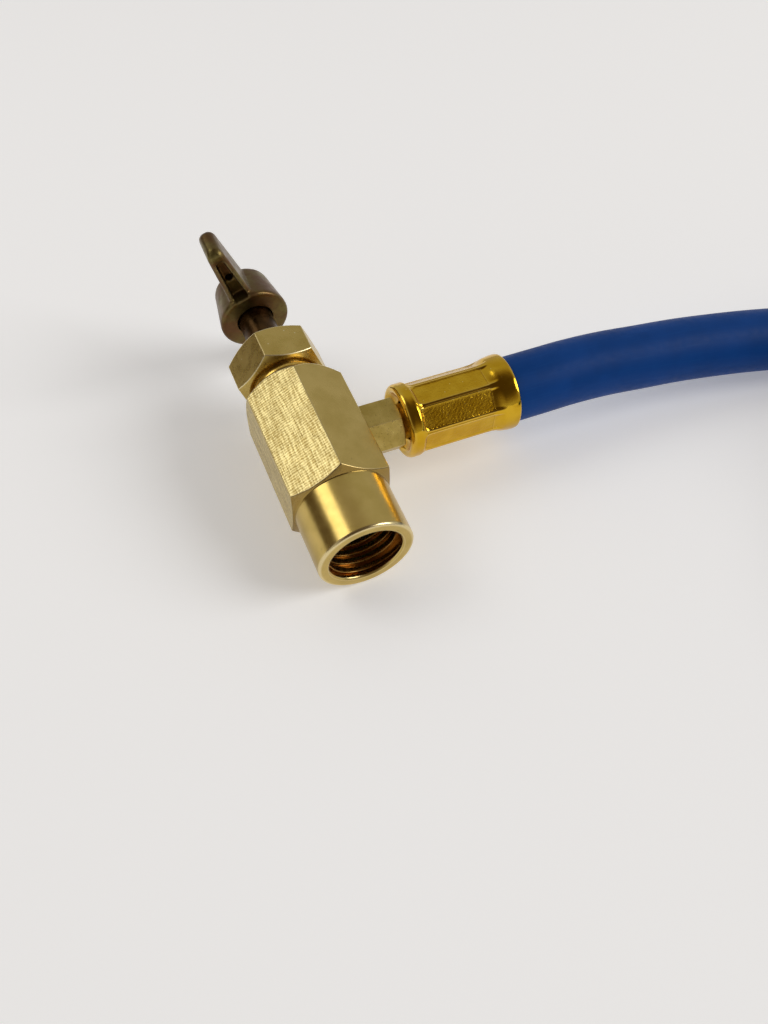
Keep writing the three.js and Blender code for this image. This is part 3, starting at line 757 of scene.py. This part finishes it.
def wing_half_width(reach):
    straight = (WING_ROOT_WIDTH + (WING_TIP_WIDTH - WING_ROOT_WIDTH) * reach / WING_REACH) / 2
    tip = WING_TIP_WIDTH / 2
    past = reach - (WING_REACH - tip)
    if past <= 0:
        return straight
    return math.sqrt(max(tip ** 2 - past ** 2, 0.0009))


def wing_rise(reach):
    return WING_RISE * reach / (WING_REACH - WING_CORNER)


def lofted(name, sections, corner, place):
    """A closed bar along X from [x, half width, bottom, top] sections with their corners cut off."""
    vertices = []
    rows = []
    for x, half, bottom, top in sections:
        cut = min(corner, half * 0.6)
        inner = half - cut
        start = len(vertices)
        vertices += [(x, -inner, bottom), (x, inner, bottom), (x, half, bottom + cut), (x, half, top - cut)]
        vertices += [(x, inner, top), (x, -inner, top), (x, -half, top - cut), (x, -half, bottom + cut)]
        rows.append(range(start, len(vertices)))
    return new_piece(name, vertices, [reversed(rows[0]), *strip_faces(rows), rows[-1]], place)


def wing_arm(place):
    sections = []
    for x in [0, 4, 8, 12] + [WING_REACH - 1.4 + 0.1 * k for k in range(14)] + [WING_REACH - 0.03]:
        past = max(x - (WING_REACH - WING_CORNER), 0)
        lift = WING_CORNER - math.sqrt(max(WING_CORNER ** 2 - past ** 2, 0))
        height = WING_ROOT_HEIGHT + (WING_TIP_HEIGHT - WING_ROOT_HEIGHT) * x / WING_REACH
        sections.append((x, wing_half_width(x), wing_rise(x) + lift, wing_rise(x) + height - lift))
    return lofted("arm", sections, 0.5, place)


def wing_hollow(place):
    end_half = wing_half_width(WING_HOLLOW_END) - WING_RIM
    halves = [(x, wing_half_width(x) - WING_RIM) for x in (WING_HOLLOW_START, 9.0, 11.0, WING_HOLLOW_END)]
    for step in range(1, 7):
        turn = math.pi / 2 * step / 6.5
        halves.append((WING_HOLLOW_END + end_half * math.sin(turn), end_half * math.cos(turn)))
    sections = [(x, half, -1.0, wing_rise(x) + WING_HOLLOW_DEPTH) for x, half in halves]
    return lofted("hollow", sections, 0.3, place)


def combine(target, other, operation):
    """Joins or cuts one mesh with another, and drops the other."""
    modifier = target.modifiers.new("combine", "BOOLEAN")
    modifier.operation = operation
    modifier.solver = "EXACT"
    modifier.object = other
    target.data = modified_mesh(target)
    bpy.data.objects.remove(other)


def number_rows(items, key, width, kind=float):
    flat = np.empty(len(items) * width, kind)
    items.foreach_get(key, flat)
    return flat.reshape(-1, width)


def mark_cast_edges(piece):
    """Wear and dirt marks for a cast piece, from how its surface bends at each vertex."""
    mesh = piece.data
    count = len(mesh.vertices)
    place = number_rows(mesh.vertices, "co", 3)
    normals = number_rows(mesh.vertex_normals, "vector", 3)
    first, second = number_rows(mesh.edges, "vertices", 2, int).T
    bend = np.zeros((count, 3))
    links = np.zeros(count)
    for a, b in ((first, second), (second, first)):
        np.add.at(bend, a, place[b] - place[a])
        np.add.at(links, a, 1)
    step = np.linalg.norm(place[first] - place[second], axis=1).mean()
    curve = -(bend * normals).sum(axis=1) / np.maximum(links, 1) / step
    for _ in range(2):
        spread = np.zeros(count)
        np.add.at(spread, first, curve[second])
        np.add.at(spread, second, curve[first])
        curve = 0.5 * curve + 0.5 * spread / np.maximum(links, 1)
    set_marks(piece, "edge_wear", np.clip((curve - 0.05) / 0.13, 0, 1))
    set_marks(piece, "groove_dirt", np.clip((-curve - 0.03) / 0.12, 0, 1))


def make_wing_handle(material):
    """A cast hub with two tapered arms, hollow underneath, and all its edges softened."""
    upright = Matrix.Identity(4)
    handle = turned("wing_handle_casting", [
        (0, 0), (HUB_BOTTOM_RADIUS, 0, 0.9), (HUB_TOP_RADIUS, HUB_HEIGHT, 0.9), (0, HUB_HEIGHT),
    ], upright, sides=96, closed=False, steps=6)
    turns = [Matrix.Rotation(math.radians(side - WING_TURN), 4, "Z") for side in (-90, 90)]
    for turn in turns:
        combine(handle, wing_arm(turn), "UNION")
    socket = turned("socket", [
        (0, -1), (STEM_RADIUS + 0.15, -1), (STEM_RADIUS + 0.15, STEM_IN_HUB + 0.3), (0, STEM_IN_HUB + 0.3),
    ], upright, 0.05, 64, closed=False)
    combine(handle, socket, "DIFFERENCE")
    for turn in turns:
        combine(handle, wing_hollow(turn), "DIFFERENCE")
        floor = wing_rise(WING_HOLE_AT) + WING_HOLLOW_DEPTH
        hole = turned("hole", [
            (0, floor - 1), (WING_HOLE_RADIUS, floor - 1), (WING_HOLE_RADIUS, floor + 1.5), (0, floor + 1.5),
        ], turn @ Matrix.Translation((WING_HOLE_AT, 0, 0)), 0.05, 24, closed=False)
        combine(handle, hole, "DIFFERENCE")
    remesh = handle.modifiers.new("cast", "REMESH")
    remesh.mode = "VOXEL"
    remesh.voxel_size = 0.16
    soften = handle.modifiers.new("soften", "SMOOTH")
    soften.factor = 0.5
    soften.iterations = 7
    handle.data = modified_mesh(handle)
    handle.data.transform(TAP_FRAME @ Matrix.Translation((0, 0, HUB_BOTTOM)))
    handle.data.shade_smooth()
    mark_cast_edges(handle)
    finish_piece(handle, "handle", "handle_plating", material, "wing_handle")


# Branch: nipple and ferrule

def make_hose_nipple(material):
    turn = Matrix.Rotation(math.radians(-30), 4, "Z")
    nipple = hexagonal("hose_nipple_hex", NIPPLE_ACROSS_FLATS, 30, 0.12, lambda reach: [
        (NIPPLE_BORE_RADIUS, -3.0, 0.05), (NIPPLE_NECK_RADIUS, -3.0, 0.1),
        (NIPPLE_NECK_RADIUS, -0.2, 0.05), (2.9, 0.0, 0.02),
        (reach, 0.02, 0.06), (reach, NIPPLE_HEX_END - (reach - NIPPLE_FACE_RADIUS) * 0.35, 0.1),
        (NIPPLE_FACE_RADIUS, NIPPLE_HEX_END, 0.05), (BARB_RADIUS, NIPPLE_HEX_END, 0.05),
        (BARB_RADIUS, NIPPLE_HEX_END + 16, 0.1), (NIPPLE_BORE_RADIUS, NIPPLE_HEX_END + 16, 0.1),
    ], BRANCH_FRAME @ turn)
    finish_piece(nipple, "tap", "nipple_brass", material, "hose_nipple")


def smooth_between(value, low, high):
    t = min(max((value - low) / (high - low), 0.0), 1.0)
    return t * t * (3 - 2 * t)


PANEL_START = 2.75
PANEL_END = 15.0
PANEL_HALF_WIDTH = 1.85
PANEL_FLOOR = 5.40
JAW_ANGLE = 45.0
WAIST_RADIUS = 5.75


def crimped_shell(name, start, place, material, node):
    """A ferrule: rolled collar, waist pressed by eight jaws into flat panels, and a bell at the rear.

    Its outside is a rule of how far along the shell and how far round it a point lies.
    """
    sides = 288
    along = np.concatenate([
        np.linspace(0.9, 2.5, 14), np.linspace(2.6, 4.2, 20), np.linspace(4.35, 14.2, 40),
        np.linspace(14.35, 17.2, 30), np.linspace(17.35, 18.9, 12),
    ])
    rim = [(6.43, 19.1), (6.40, 19.27), (6.30, 19.38), (6.18, 19.4), (6.02, 19.36), (5.94, 19.25), (5.92, 19.0)]
    inside = [(5.85, 17.5), (5.82, 16.8), (5.6, 16.6), (3.4, 16.6), (3.3, 16.4), (3.3, 1.5)]
    front = [
        (3.32, 1.3), (3.45, 1.18), (3.9, 1.05), (4.45, 0.78), (4.75, 0.45), (4.95, 0.18),
        (5.2, 0.04), (5.5, 0.0), (5.75, 0.07), (5.96, 0.22), (6.11, 0.44), (6.18, 0.66),
    ]
    angles = [360 * k / sides for k in range(sides)]
    profiles = []
    pressed = []
    for angle in angles:
        turn = math.radians((angle + JAW_ANGLE / 2) % JAW_ANGLE - JAW_ANGLE / 2)
        floor_reach = PANEL_FLOOR / math.cos(turn)
        across = abs(turn) * WAIST_RADIUS
        box_x = across - (PANEL_HALF_WIDTH - 0.6)
        side_in = 1 - smooth_between(across, PANEL_HALF_WIDTH - 0.35, PANEL_HALF_WIDTH + 0.12)
        profile = []
        marks = []
        for s in along:
            base = 6.2 - 0.42 * smooth_between(s, 1.75, 3.1) + 0.67 * smooth_between(s, 13.6, 18.9)
            box_s = max((PANEL_START + 0.9 - s) * 0.5, s - PANEL_END)
            inset = math.hypot(max(box_x, 0), max(box_s, 0)) + min(max(box_x, box_s), 0) - 0.6
            if s > PANEL_END - 0.6:
                inset = max(across - PANEL_HALF_WIDTH, s - PANEL_END)
            press = 1 - smooth_between(inset, -0.16, 0.1)
            if s > PANEL_END - 0.6:
                scoop = 1 - smooth_between(s, PANEL_END - 0.1, PANEL_END + 2.0)
                press = max(press, 0.9 * scoop * side_in)
            reach = base + (min(floor_reach, base) - base) * press
            lip = 0.1 * math.exp(-((inset - 0.2) / 0.13) ** 2) * (1 - smooth_between(s, 14.0, 15.4))
            lip *= smooth_between(s, PANEL_START - 0.4, PANEL_START + 1.0) * 0.6 + 0.4
            profile.append((reach + lip, s))
            marks.append(press if s < PANEL_END else 0.0)
        profiles.append(front + profile + rim + inside)
        pressed.append([0.0] * len(front) + marks + [0.0] * (len(rim) + len(inside)))
    shell = ringed(name, angles, profiles, place @ Matrix.Translation((0, 0, start)))
    set_marks(shell, "pressed_panel", np.array(pressed).T.reshape(-1))
    mark_edges(shell, 9.0, 30.0)
    finish_piece(shell, "tap", "ferrule_gold", material, node)
    return shell


# Hose: the same route as its solids, from the ferrule through the coil to the far fitting

COIL_OUTER_RADIUS = 67.2
COIL_INNER_RADIUS = 56.0
COIL_CENTRE = (108, -81.9)
COIL_ENTRY = 79.5
END_AXIS_HEIGHT = 19.1
TAIL_STRAIGHT = 5.0
FERRULE_GAP = 0.3
TIE_ANGLE = 255
TIE_HALF_WIDTH = 3.5
TIE_THICKNESS = 0.75
RUN_ROUTE = [
    (0, 0, 0), (6, 0, 0), (12, 0.2, 0.04), (19, 0.2, 0.13), (26, -0.2, 0.24),
    (33, -0.6, 0.35), (40, -1.3, 0.47), (47, -2.3, 0.58), (54, -3.6, 0.69), (62, -5.1, 0.81),
    (70, -6.6, 0.9), (78, -8.1, 0.96), (86, -9.6, 0.99), (94, -11, 1), (102, -12.5, 1),
    (111, -14.2, 1), (120.2, -15.9, 1),
]
TAIL_ROUTE = [
    (175, 0, 0), (165, 0, 0.05), (155, 0, 0.18), (145, 0.02, 0.37), (135, 0.1, 0.59),
    (125, 0.22, 0.79), (115, 0.36, 0.93), (105, 0.47, 1), (97, 0.5, 1), (90, 0.5, 1),
]

ferrule_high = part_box("crimp_ferrule")[1]
hose_exit = Vector((ferrule_high[0] + FERRULE_GAP * MM, *(BRANCH_FRAME @ Vector((0, 0, 0)))[1:]))


def smooth_step(t):
    t = min(max(t, 0.0), 1.0)
    return 0.5 - 0.5 * math.cos(math.pi * t)


def coil_point(angle, radius, height):
    turn = math.radians(angle)
    return Vector((
        hose_exit.x + (COIL_CENTRE[0] + radius * math.cos(turn)) * MM,
        hose_exit.y + (COIL_CENTRE[1] + radius * math.sin(turn)) * MM,
        height * MM,
    ))


def hose_route():
    exit_height = hose_exit.z / MM
    points = []
    for x, y, sunk in RUN_ROUTE:
        height = exit_height + (HOSE_RADIUS - exit_height) * sunk
        points.append(Vector((hose_exit.x + x * MM, hose_exit.y + y * MM, height * MM)))
    # The outer turn moves over to the inner lane just before it meets its own start
    lane_change_start = 139.5 - 360
    lane_change_end = 84 - 360
    last = TAIL_ROUTE[0][0] - 720
    steps = 44
    for step in range(1, steps):
        angle = COIL_ENTRY + (last - COIL_ENTRY) * step / steps
        inward = smooth_step((angle - lane_change_start) / (lane_change_end - lane_change_start))
        radius = COIL_OUTER_RADIUS + (COIL_INNER_RADIUS - COIL_OUTER_RADIUS) * inward
        points.append(coil_point(angle, radius, HOSE_RADIUS))
    for angle, outward, climbed in TAIL_ROUTE:
        radius = COIL_INNER_RADIUS + outward * (COIL_OUTER_RADIUS - COIL_INNER_RADIUS)
        height = HOSE_RADIUS + (END_AXIS_HEIGHT - HOSE_RADIUS) * climbed
        points.append(coil_point(angle, radius, height))
    points.append(points[-1] + Vector((TAIL_STRAIGHT * MM, 0, 0)))
    return points


def between(first, second, start, end, t):
    return first * ((end - t) / (end - start)) + second * ((t - start) / (end - start))


def catmull_rom(points, spacing):
    """Points at even spacing along the centripetal curve through the given points."""
    fine = []
    ends = [2 * points[0] - points[1]] + points + [2 * points[-1] - points[-2]]
    for i in range(1, len(ends) - 2):
        p0, p1, p2, p3 = ends[i - 1:i + 3]
        t1 = (p1 - p0).length ** 0.5
        t2 = t1 + (p2 - p1).length ** 0.5
        t3 = t2 + (p3 - p2).length ** 0.5
        for k in range(24):
            t = t1 + (t2 - t1) * k / 24
            a1 = between(p0, p1, 0, t1, t)
            a2 = between(p1, p2, t1, t2, t)
            a3 = between(p2, p3, t2, t3, t)
            fine.append(between(between(a1, a2, 0, t2, t), between(a2, a3, t1, t3, t), t1, t2, t))
    fine.append(points[-1].copy())
    lengths = np.concatenate([[0], np.cumsum([(b - a).length for a, b in zip(fine, fine[1:])])])
    count = max(2, round(lengths[-1] / spacing))
    wanted = np.linspace(0, lengths[-1], count + 1)
    table = np.array([tuple(p) for p in fine])
    even = np.stack([np.interp(wanted, lengths, table[:, k]) for k in range(3)], axis=1)
    return [Vector(p) for p in even]


def hose_tube(name, path, sides=48):
    """The hose round its path, a little longer at both ends so that it goes into its ferrules."""
    tucked = 1.6 * MM
    first = path[0] - (path[1] - path[0]).normalized() * tucked
    last = path[-1] + (path[-1] - path[-2]).normalized() * tucked
    path = [first] + path + [last]
    radius = (HOSE_RADIUS - 0.03) * MM
    normal = Vector((0, 0, 1))
    vertices = []
    travelled = [0.0]
    for i, point in enumerate(path):
        ahead = (path[min(i + 1, len(path) - 1)] - path[max(i - 1, 0)]).normalized()
        normal = (normal - ahead * normal.dot(ahead)).normalized()
        across = ahead.cross(normal)
        if i:
            travelled.append(travelled[-1] + (point - path[i - 1]).length / MM)
        for k in range(sides):
            angle = 2 * math.pi * k / sides
            vertices.append(point + (normal * math.cos(angle) + across * math.sin(angle)) * radius)
    rows = [range(sides * i, sides * (i + 1)) for i in range(len(path))]
    tube = new_piece(name, vertices, [*strip_faces(rows), reversed(rows[0]), rows[-1]])
    layer = tube.data.uv_layers.new(name="along_hose")
    round_it = 2 * math.pi * HOSE_RADIUS
    for polygon in tube.data.polygons:
        if len(polygon.vertices) > 4:
            continue
        i, k = divmod(polygon.vertices[0], sides)
        for loop, (step, side) in zip(polygon.loop_indices, ((0, 0), (0, 1), (1, 1), (1, 0))):
            layer.data[loop].uv = (travelled[i + step], round_it * (k + side) / sides)
    return tube


def make_coil_tie(material):
    """A flat rubber band round both turns of the coil, well away from the tap."""
    steps = 96
    middle = (COIL_OUTER_RADIUS + COIL_INNER_RADIUS) / 2
    half = (COIL_OUTER_RADIUS - COIL_INNER_RADIUS) / 2
    turn = math.radians(TIE_ANGLE)
    centre = coil_point(TIE_ANGLE, middle, HOSE_RADIUS) / MM
    outwards = Vector((math.cos(turn), math.sin(turn), 0))
    sideways = Vector((-math.sin(turn), math.cos(turn), 0))
    corners = ((-1, 0), (1, 0), (1, TIE_THICKNESS), (-1, TIE_THICKNESS))
    section = rounded([(way * TIE_HALF_WIDTH, proud) for way, proud in corners], 0.3, closed=True)
    count = len(section)
    vertices = []
    faces = []
    for i in range(steps):
        way = 2 * math.pi * i / steps
        c = math.cos(way)
        shift = half * (1 if c > 1e-6 else -1 if c < -1e-6 else 0)
        for side, proud in section:
            reach = HOSE_RADIUS - 0.1 + proud
            height = max(math.sin(way) * reach, -HOSE_RADIUS + 0.02 + 0.05 * (TIE_THICKNESS - proud))
            point = centre + outwards * (shift + c * reach) + sideways * side + Vector((0, 0, height))
            vertices.append(point * MM)
        for k in range(count):
            n = (k + 1) % count
            a = i * count
            b = ((i + 1) % steps) * count
            faces.append((a + k, b + k, b + n, a + n))
    tie = new_piece("coil_tie", vertices, faces)
    shape = bmesh.new()
    shape.from_mesh(tie.data)
    bmesh.ops.recalc_face_normals(shape, faces=shape.faces)
    shape.to_mesh(tie.data)
    shape.free()
    tie.data.shade_smooth()
    finish_piece(tie, "tap", "gasket_rubber", material)
    return tie


# Far fitting: its own frame starts at the hose's end face and runs along +X

END_FERRULE_END = FERRULE_GAP + FERRULE_LENGTH
END_NUT_START = END_FERRULE_END + 2.2
END_NUT_LENGTH = 14.0
END_NUT_END = END_NUT_START + END_NUT_LENGTH
END_GRIP_RADIUS = 7.35
END_BORE_RADIUS = 5.45
END_PIPE_RADIUS = 3.4
END_FLANGE_START = END_NUT_START + 3.3
END_SOCKET_RADIUS = 4.95
END_PITCH = 25.4 / 20


def make_far_fitting(path, gold, brass, nut, threads, gasket, thread, knurl):
    end_frame = Matrix.Translation(path[-1]) @ Matrix.Rotation(math.pi / 2, 4, "Y") @ Matrix.Scale(MM, 4)
    facing_back = end_frame @ Matrix.Translation((0, 0, END_FERRULE_END)) @ Matrix.Rotation(math.pi, 4, "X")
    ferrule = crimped_shell("end_ferrule_shell", 0.0, facing_back, gold, "end_ferrule")

    tail = turned("end_tailpiece_pipe", [
        (1.6, END_FERRULE_END - 16, 0.1), (END_PIPE_RADIUS, END_FERRULE_END - 16, 0.2),
        (END_PIPE_RADIUS, END_FLANGE_START, 0.1), (4.55, END_FLANGE_START, 0.2),
        (4.55, END_FLANGE_START + 2.0, 0.2), (1.6, END_FLANGE_START + 2.0, 0.2),
    ], end_frame, sides=96)
    mark_edges(tail)
    finish_piece(tail, "tap", "nipple_brass", brass, "end_tailpiece")

    low = END_FLANGE_START + 2.3
    ring = turned("end_gasket_ring", [
        (2.2, low, 0.3), (4.5, low, 0.3), (4.5, low + 1.8, 0.5), (2.2, low + 1.8, 0.4),
    ], end_frame, sides=96)
    finish_piece(ring, "tap", "gasket_rubber", gasket, "end_gasket")

    shell = turned("end_nut_shell", [
        (END_PIPE_RADIUS + 0.3, END_NUT_START, 0.15), (6.3, END_NUT_START, 0.5),
        (6.9, END_NUT_START + 1.2, 0.3), (6.9, END_NUT_START + 1.7, 0.1),
        (END_GRIP_RADIUS, END_NUT_START + 1.9, 0.15), (END_GRIP_RADIUS, END_NUT_END - 2.1, 0.15),
        (6.9, END_NUT_END - 1.9, 0.1), (6.9, END_NUT_END - 1.5, 0.15),
        (7.3, END_NUT_END - 1.2, 0.2), (7.3, END_NUT_END, 0.4),
        (5.75, END_NUT_END, 0.15), (END_BORE_RADIUS, END_NUT_END - 0.4, 0.1),
        (END_BORE_RADIUS, END_NUT_START + 3.6, 0.1), (END_PIPE_RADIUS + 0.3, END_NUT_START + 3.0, 0.15),
    ], end_frame, sides=144)
    mark_edges(shell)
    finish_piece(shell, "swivel", "nut_brass", nut, "end_nut")

    grip = knurl.make("end_nut_grip", {
        "Rim radius": END_GRIP_RADIUS - 0.02, "Number of ridges": 56,
        "Ridge length": END_NUT_LENGTH - 4.3, "Ridge size": 0.27,
    }, nut, end_frame @ Matrix.Translation((0, 0, END_NUT_START + 2.0)))
    mark_edges(grip, 5, 60)
    finish_piece(grip, "swivel", "nut_brass", nut)

    inner = thread.make("end_nut_thread", {
        "Wall radius": END_BORE_RADIUS + 0.02, "Pitch": END_PITCH,
        "Turns": 5.2, "Root width": 1.0,
        "Crest width": 0.2, "Height": END_BORE_RADIUS + 0.02 - END_SOCKET_RADIUS,
        "Side turn": -math.pi / 2, "Runout": 0.35,
    }, threads, end_frame @ Matrix.Translation((0, 0, END_NUT_END - 7.6)))
    mark_edges(inner)
    finish_piece(inner, "swivel", "nut_brass", threads)
    return [ferrule, tail, ring, shell, grip, inner]


# Stage

WALL_LIGHT = 0.48


def make_stage():
    floor = new_piece("floor", [(-3, -3, 0), (3, -3, 0), (3, 3, 0), (-3, 3, 0)], [(0, 1, 2, 3)])
    f = Finish("pale_floor", 0.0)
    f.feed(f.shader, {
        "Base Color": (0.92, 0.92, 0.92, 1),
        "Roughness": 0.9,
        "Specular IOR Level": 0.0,
        "Emission Color": (1, 1, 1, 1),
        "Emission Strength": 0.25,
    })
    floor.data.materials.append(f.material)
    bpy.context.scene.world = studio_walls()
    bpy.context.scene.view_settings.view_transform = "Standard"
    add_light("left_soft_box", Vector((-0.33, 0.21, 0.395)), 0.27, 0.36)
    add_light("front_right_soft_box", Vector((1.08, -0.60, 0.86)), 0.9, 10.0)


def studio_walls():
    """Grey studio walls, with an unlit wooden ceiling above the front and a dark doorway low at the left."""
    world = bpy.data.worlds.new("studio")
    world.use_nodes = True
    walls = Nodes(world.node_tree)
    place = walls.add("ShaderNodeTexCoord").outputs["Generated"]
    strength = 1.0
    for towards, full, none, dark in (
        ((-0.1, -0.5, 0.86), 0.92, 0.45, 0.16), ((-0.88, 0.46, 0.10), 0.95, 0.82, 0.22),
    ):
        facing = walls.add("ShaderNodeVectorMath", operation="DOT_PRODUCT")
        walls.feed(facing, {0: place, 1: Vector(towards).normalized()})
        fade = walls.ranged(facing.outputs["Value"], none, full, 1.0, dark, interpolation_type="SMOOTHSTEP")
        strength = walls.math("MULTIPLY", strength, fade)
    walls.feed(world.node_tree.nodes["Background"], {
        "Color": walls.mix(strength, (1.0, 0.66, 0.36), (1, 1, 1)),
        "Strength": walls.math("MULTIPLY", strength, WALL_LIGHT),
    })
    return world


def add_light(name, place, size, power):
    light_data = bpy.data.lights.new(name, "AREA")
    light_data.shape = "DISK"
    light_data.energy = power
    light_data.size = size
    light = add_object(name, light_data)
    aim = (Vector((0, 0, 0.01)) - place).to_track_quat("-Z", "Y").to_matrix().to_4x4()
    light.matrix_world = Matrix.Translation(place) @ aim


make_camera()
hose_path = catmull_rom(hose_route(), 1.5 * MM)
hose = hose_tube("charging_hose", hose_path)
finish_piece(hose, "tap", "hose_rubber", hose_rubber(), "hose_run", "hose_coil", "hose_tail")

tap_brass = body_brass()
nut_finish = nut_brass()
cut_threads = thread_brass("thread_brass", (0.58, 0.36, 0.07), (0.80, 0.55, 0.13))
# A darker, redder copy of the thread brass for the thread inside the can port, as painted shade for the port's
# shadowed inside.
port_threads_painted_shade = thread_brass("port_thread_brass", (0.34, 0.17, 0.04), (0.50, 0.28, 0.07))
nipple_finish = nipple_brass()
gold_finish = ferrule_gold()
black_rubber = seal_rubber("black_rubber", (0.008, 0.008, 0.009), (0.016, 0.016, 0.017))
thread_ridge = thread_rule()
make_tap_body(tap_brass)
make_port_thread(thread_ridge, port_threads_painted_shade)
make_can_seal(seal_rubber("seal_green_rubber", (0.006, 0.028, 0.014), (0.012, 0.045, 0.022)))
make_packing_nut(nut_finish)
make_neck_thread(thread_ridge, cut_threads)
# The stem's finish is painted shade: near-black brown for its shadow between the nut and the hub.
make_valve_stem(stem_brass())
make_wing_handle(handle_chromate())
make_hose_nipple(nipple_finish)
crimped_shell("crimp_ferrule_shell", FERRULE_START, BRANCH_FRAME, gold_finish, "crimp_ferrule")
tie = make_coil_tie(black_rubber)
far_end = make_far_fitting(
    hose_path, gold_finish, nipple_finish, nut_finish, cut_threads, black_rubber, thread_ridge, knurl_rule(),
)
make_stage()
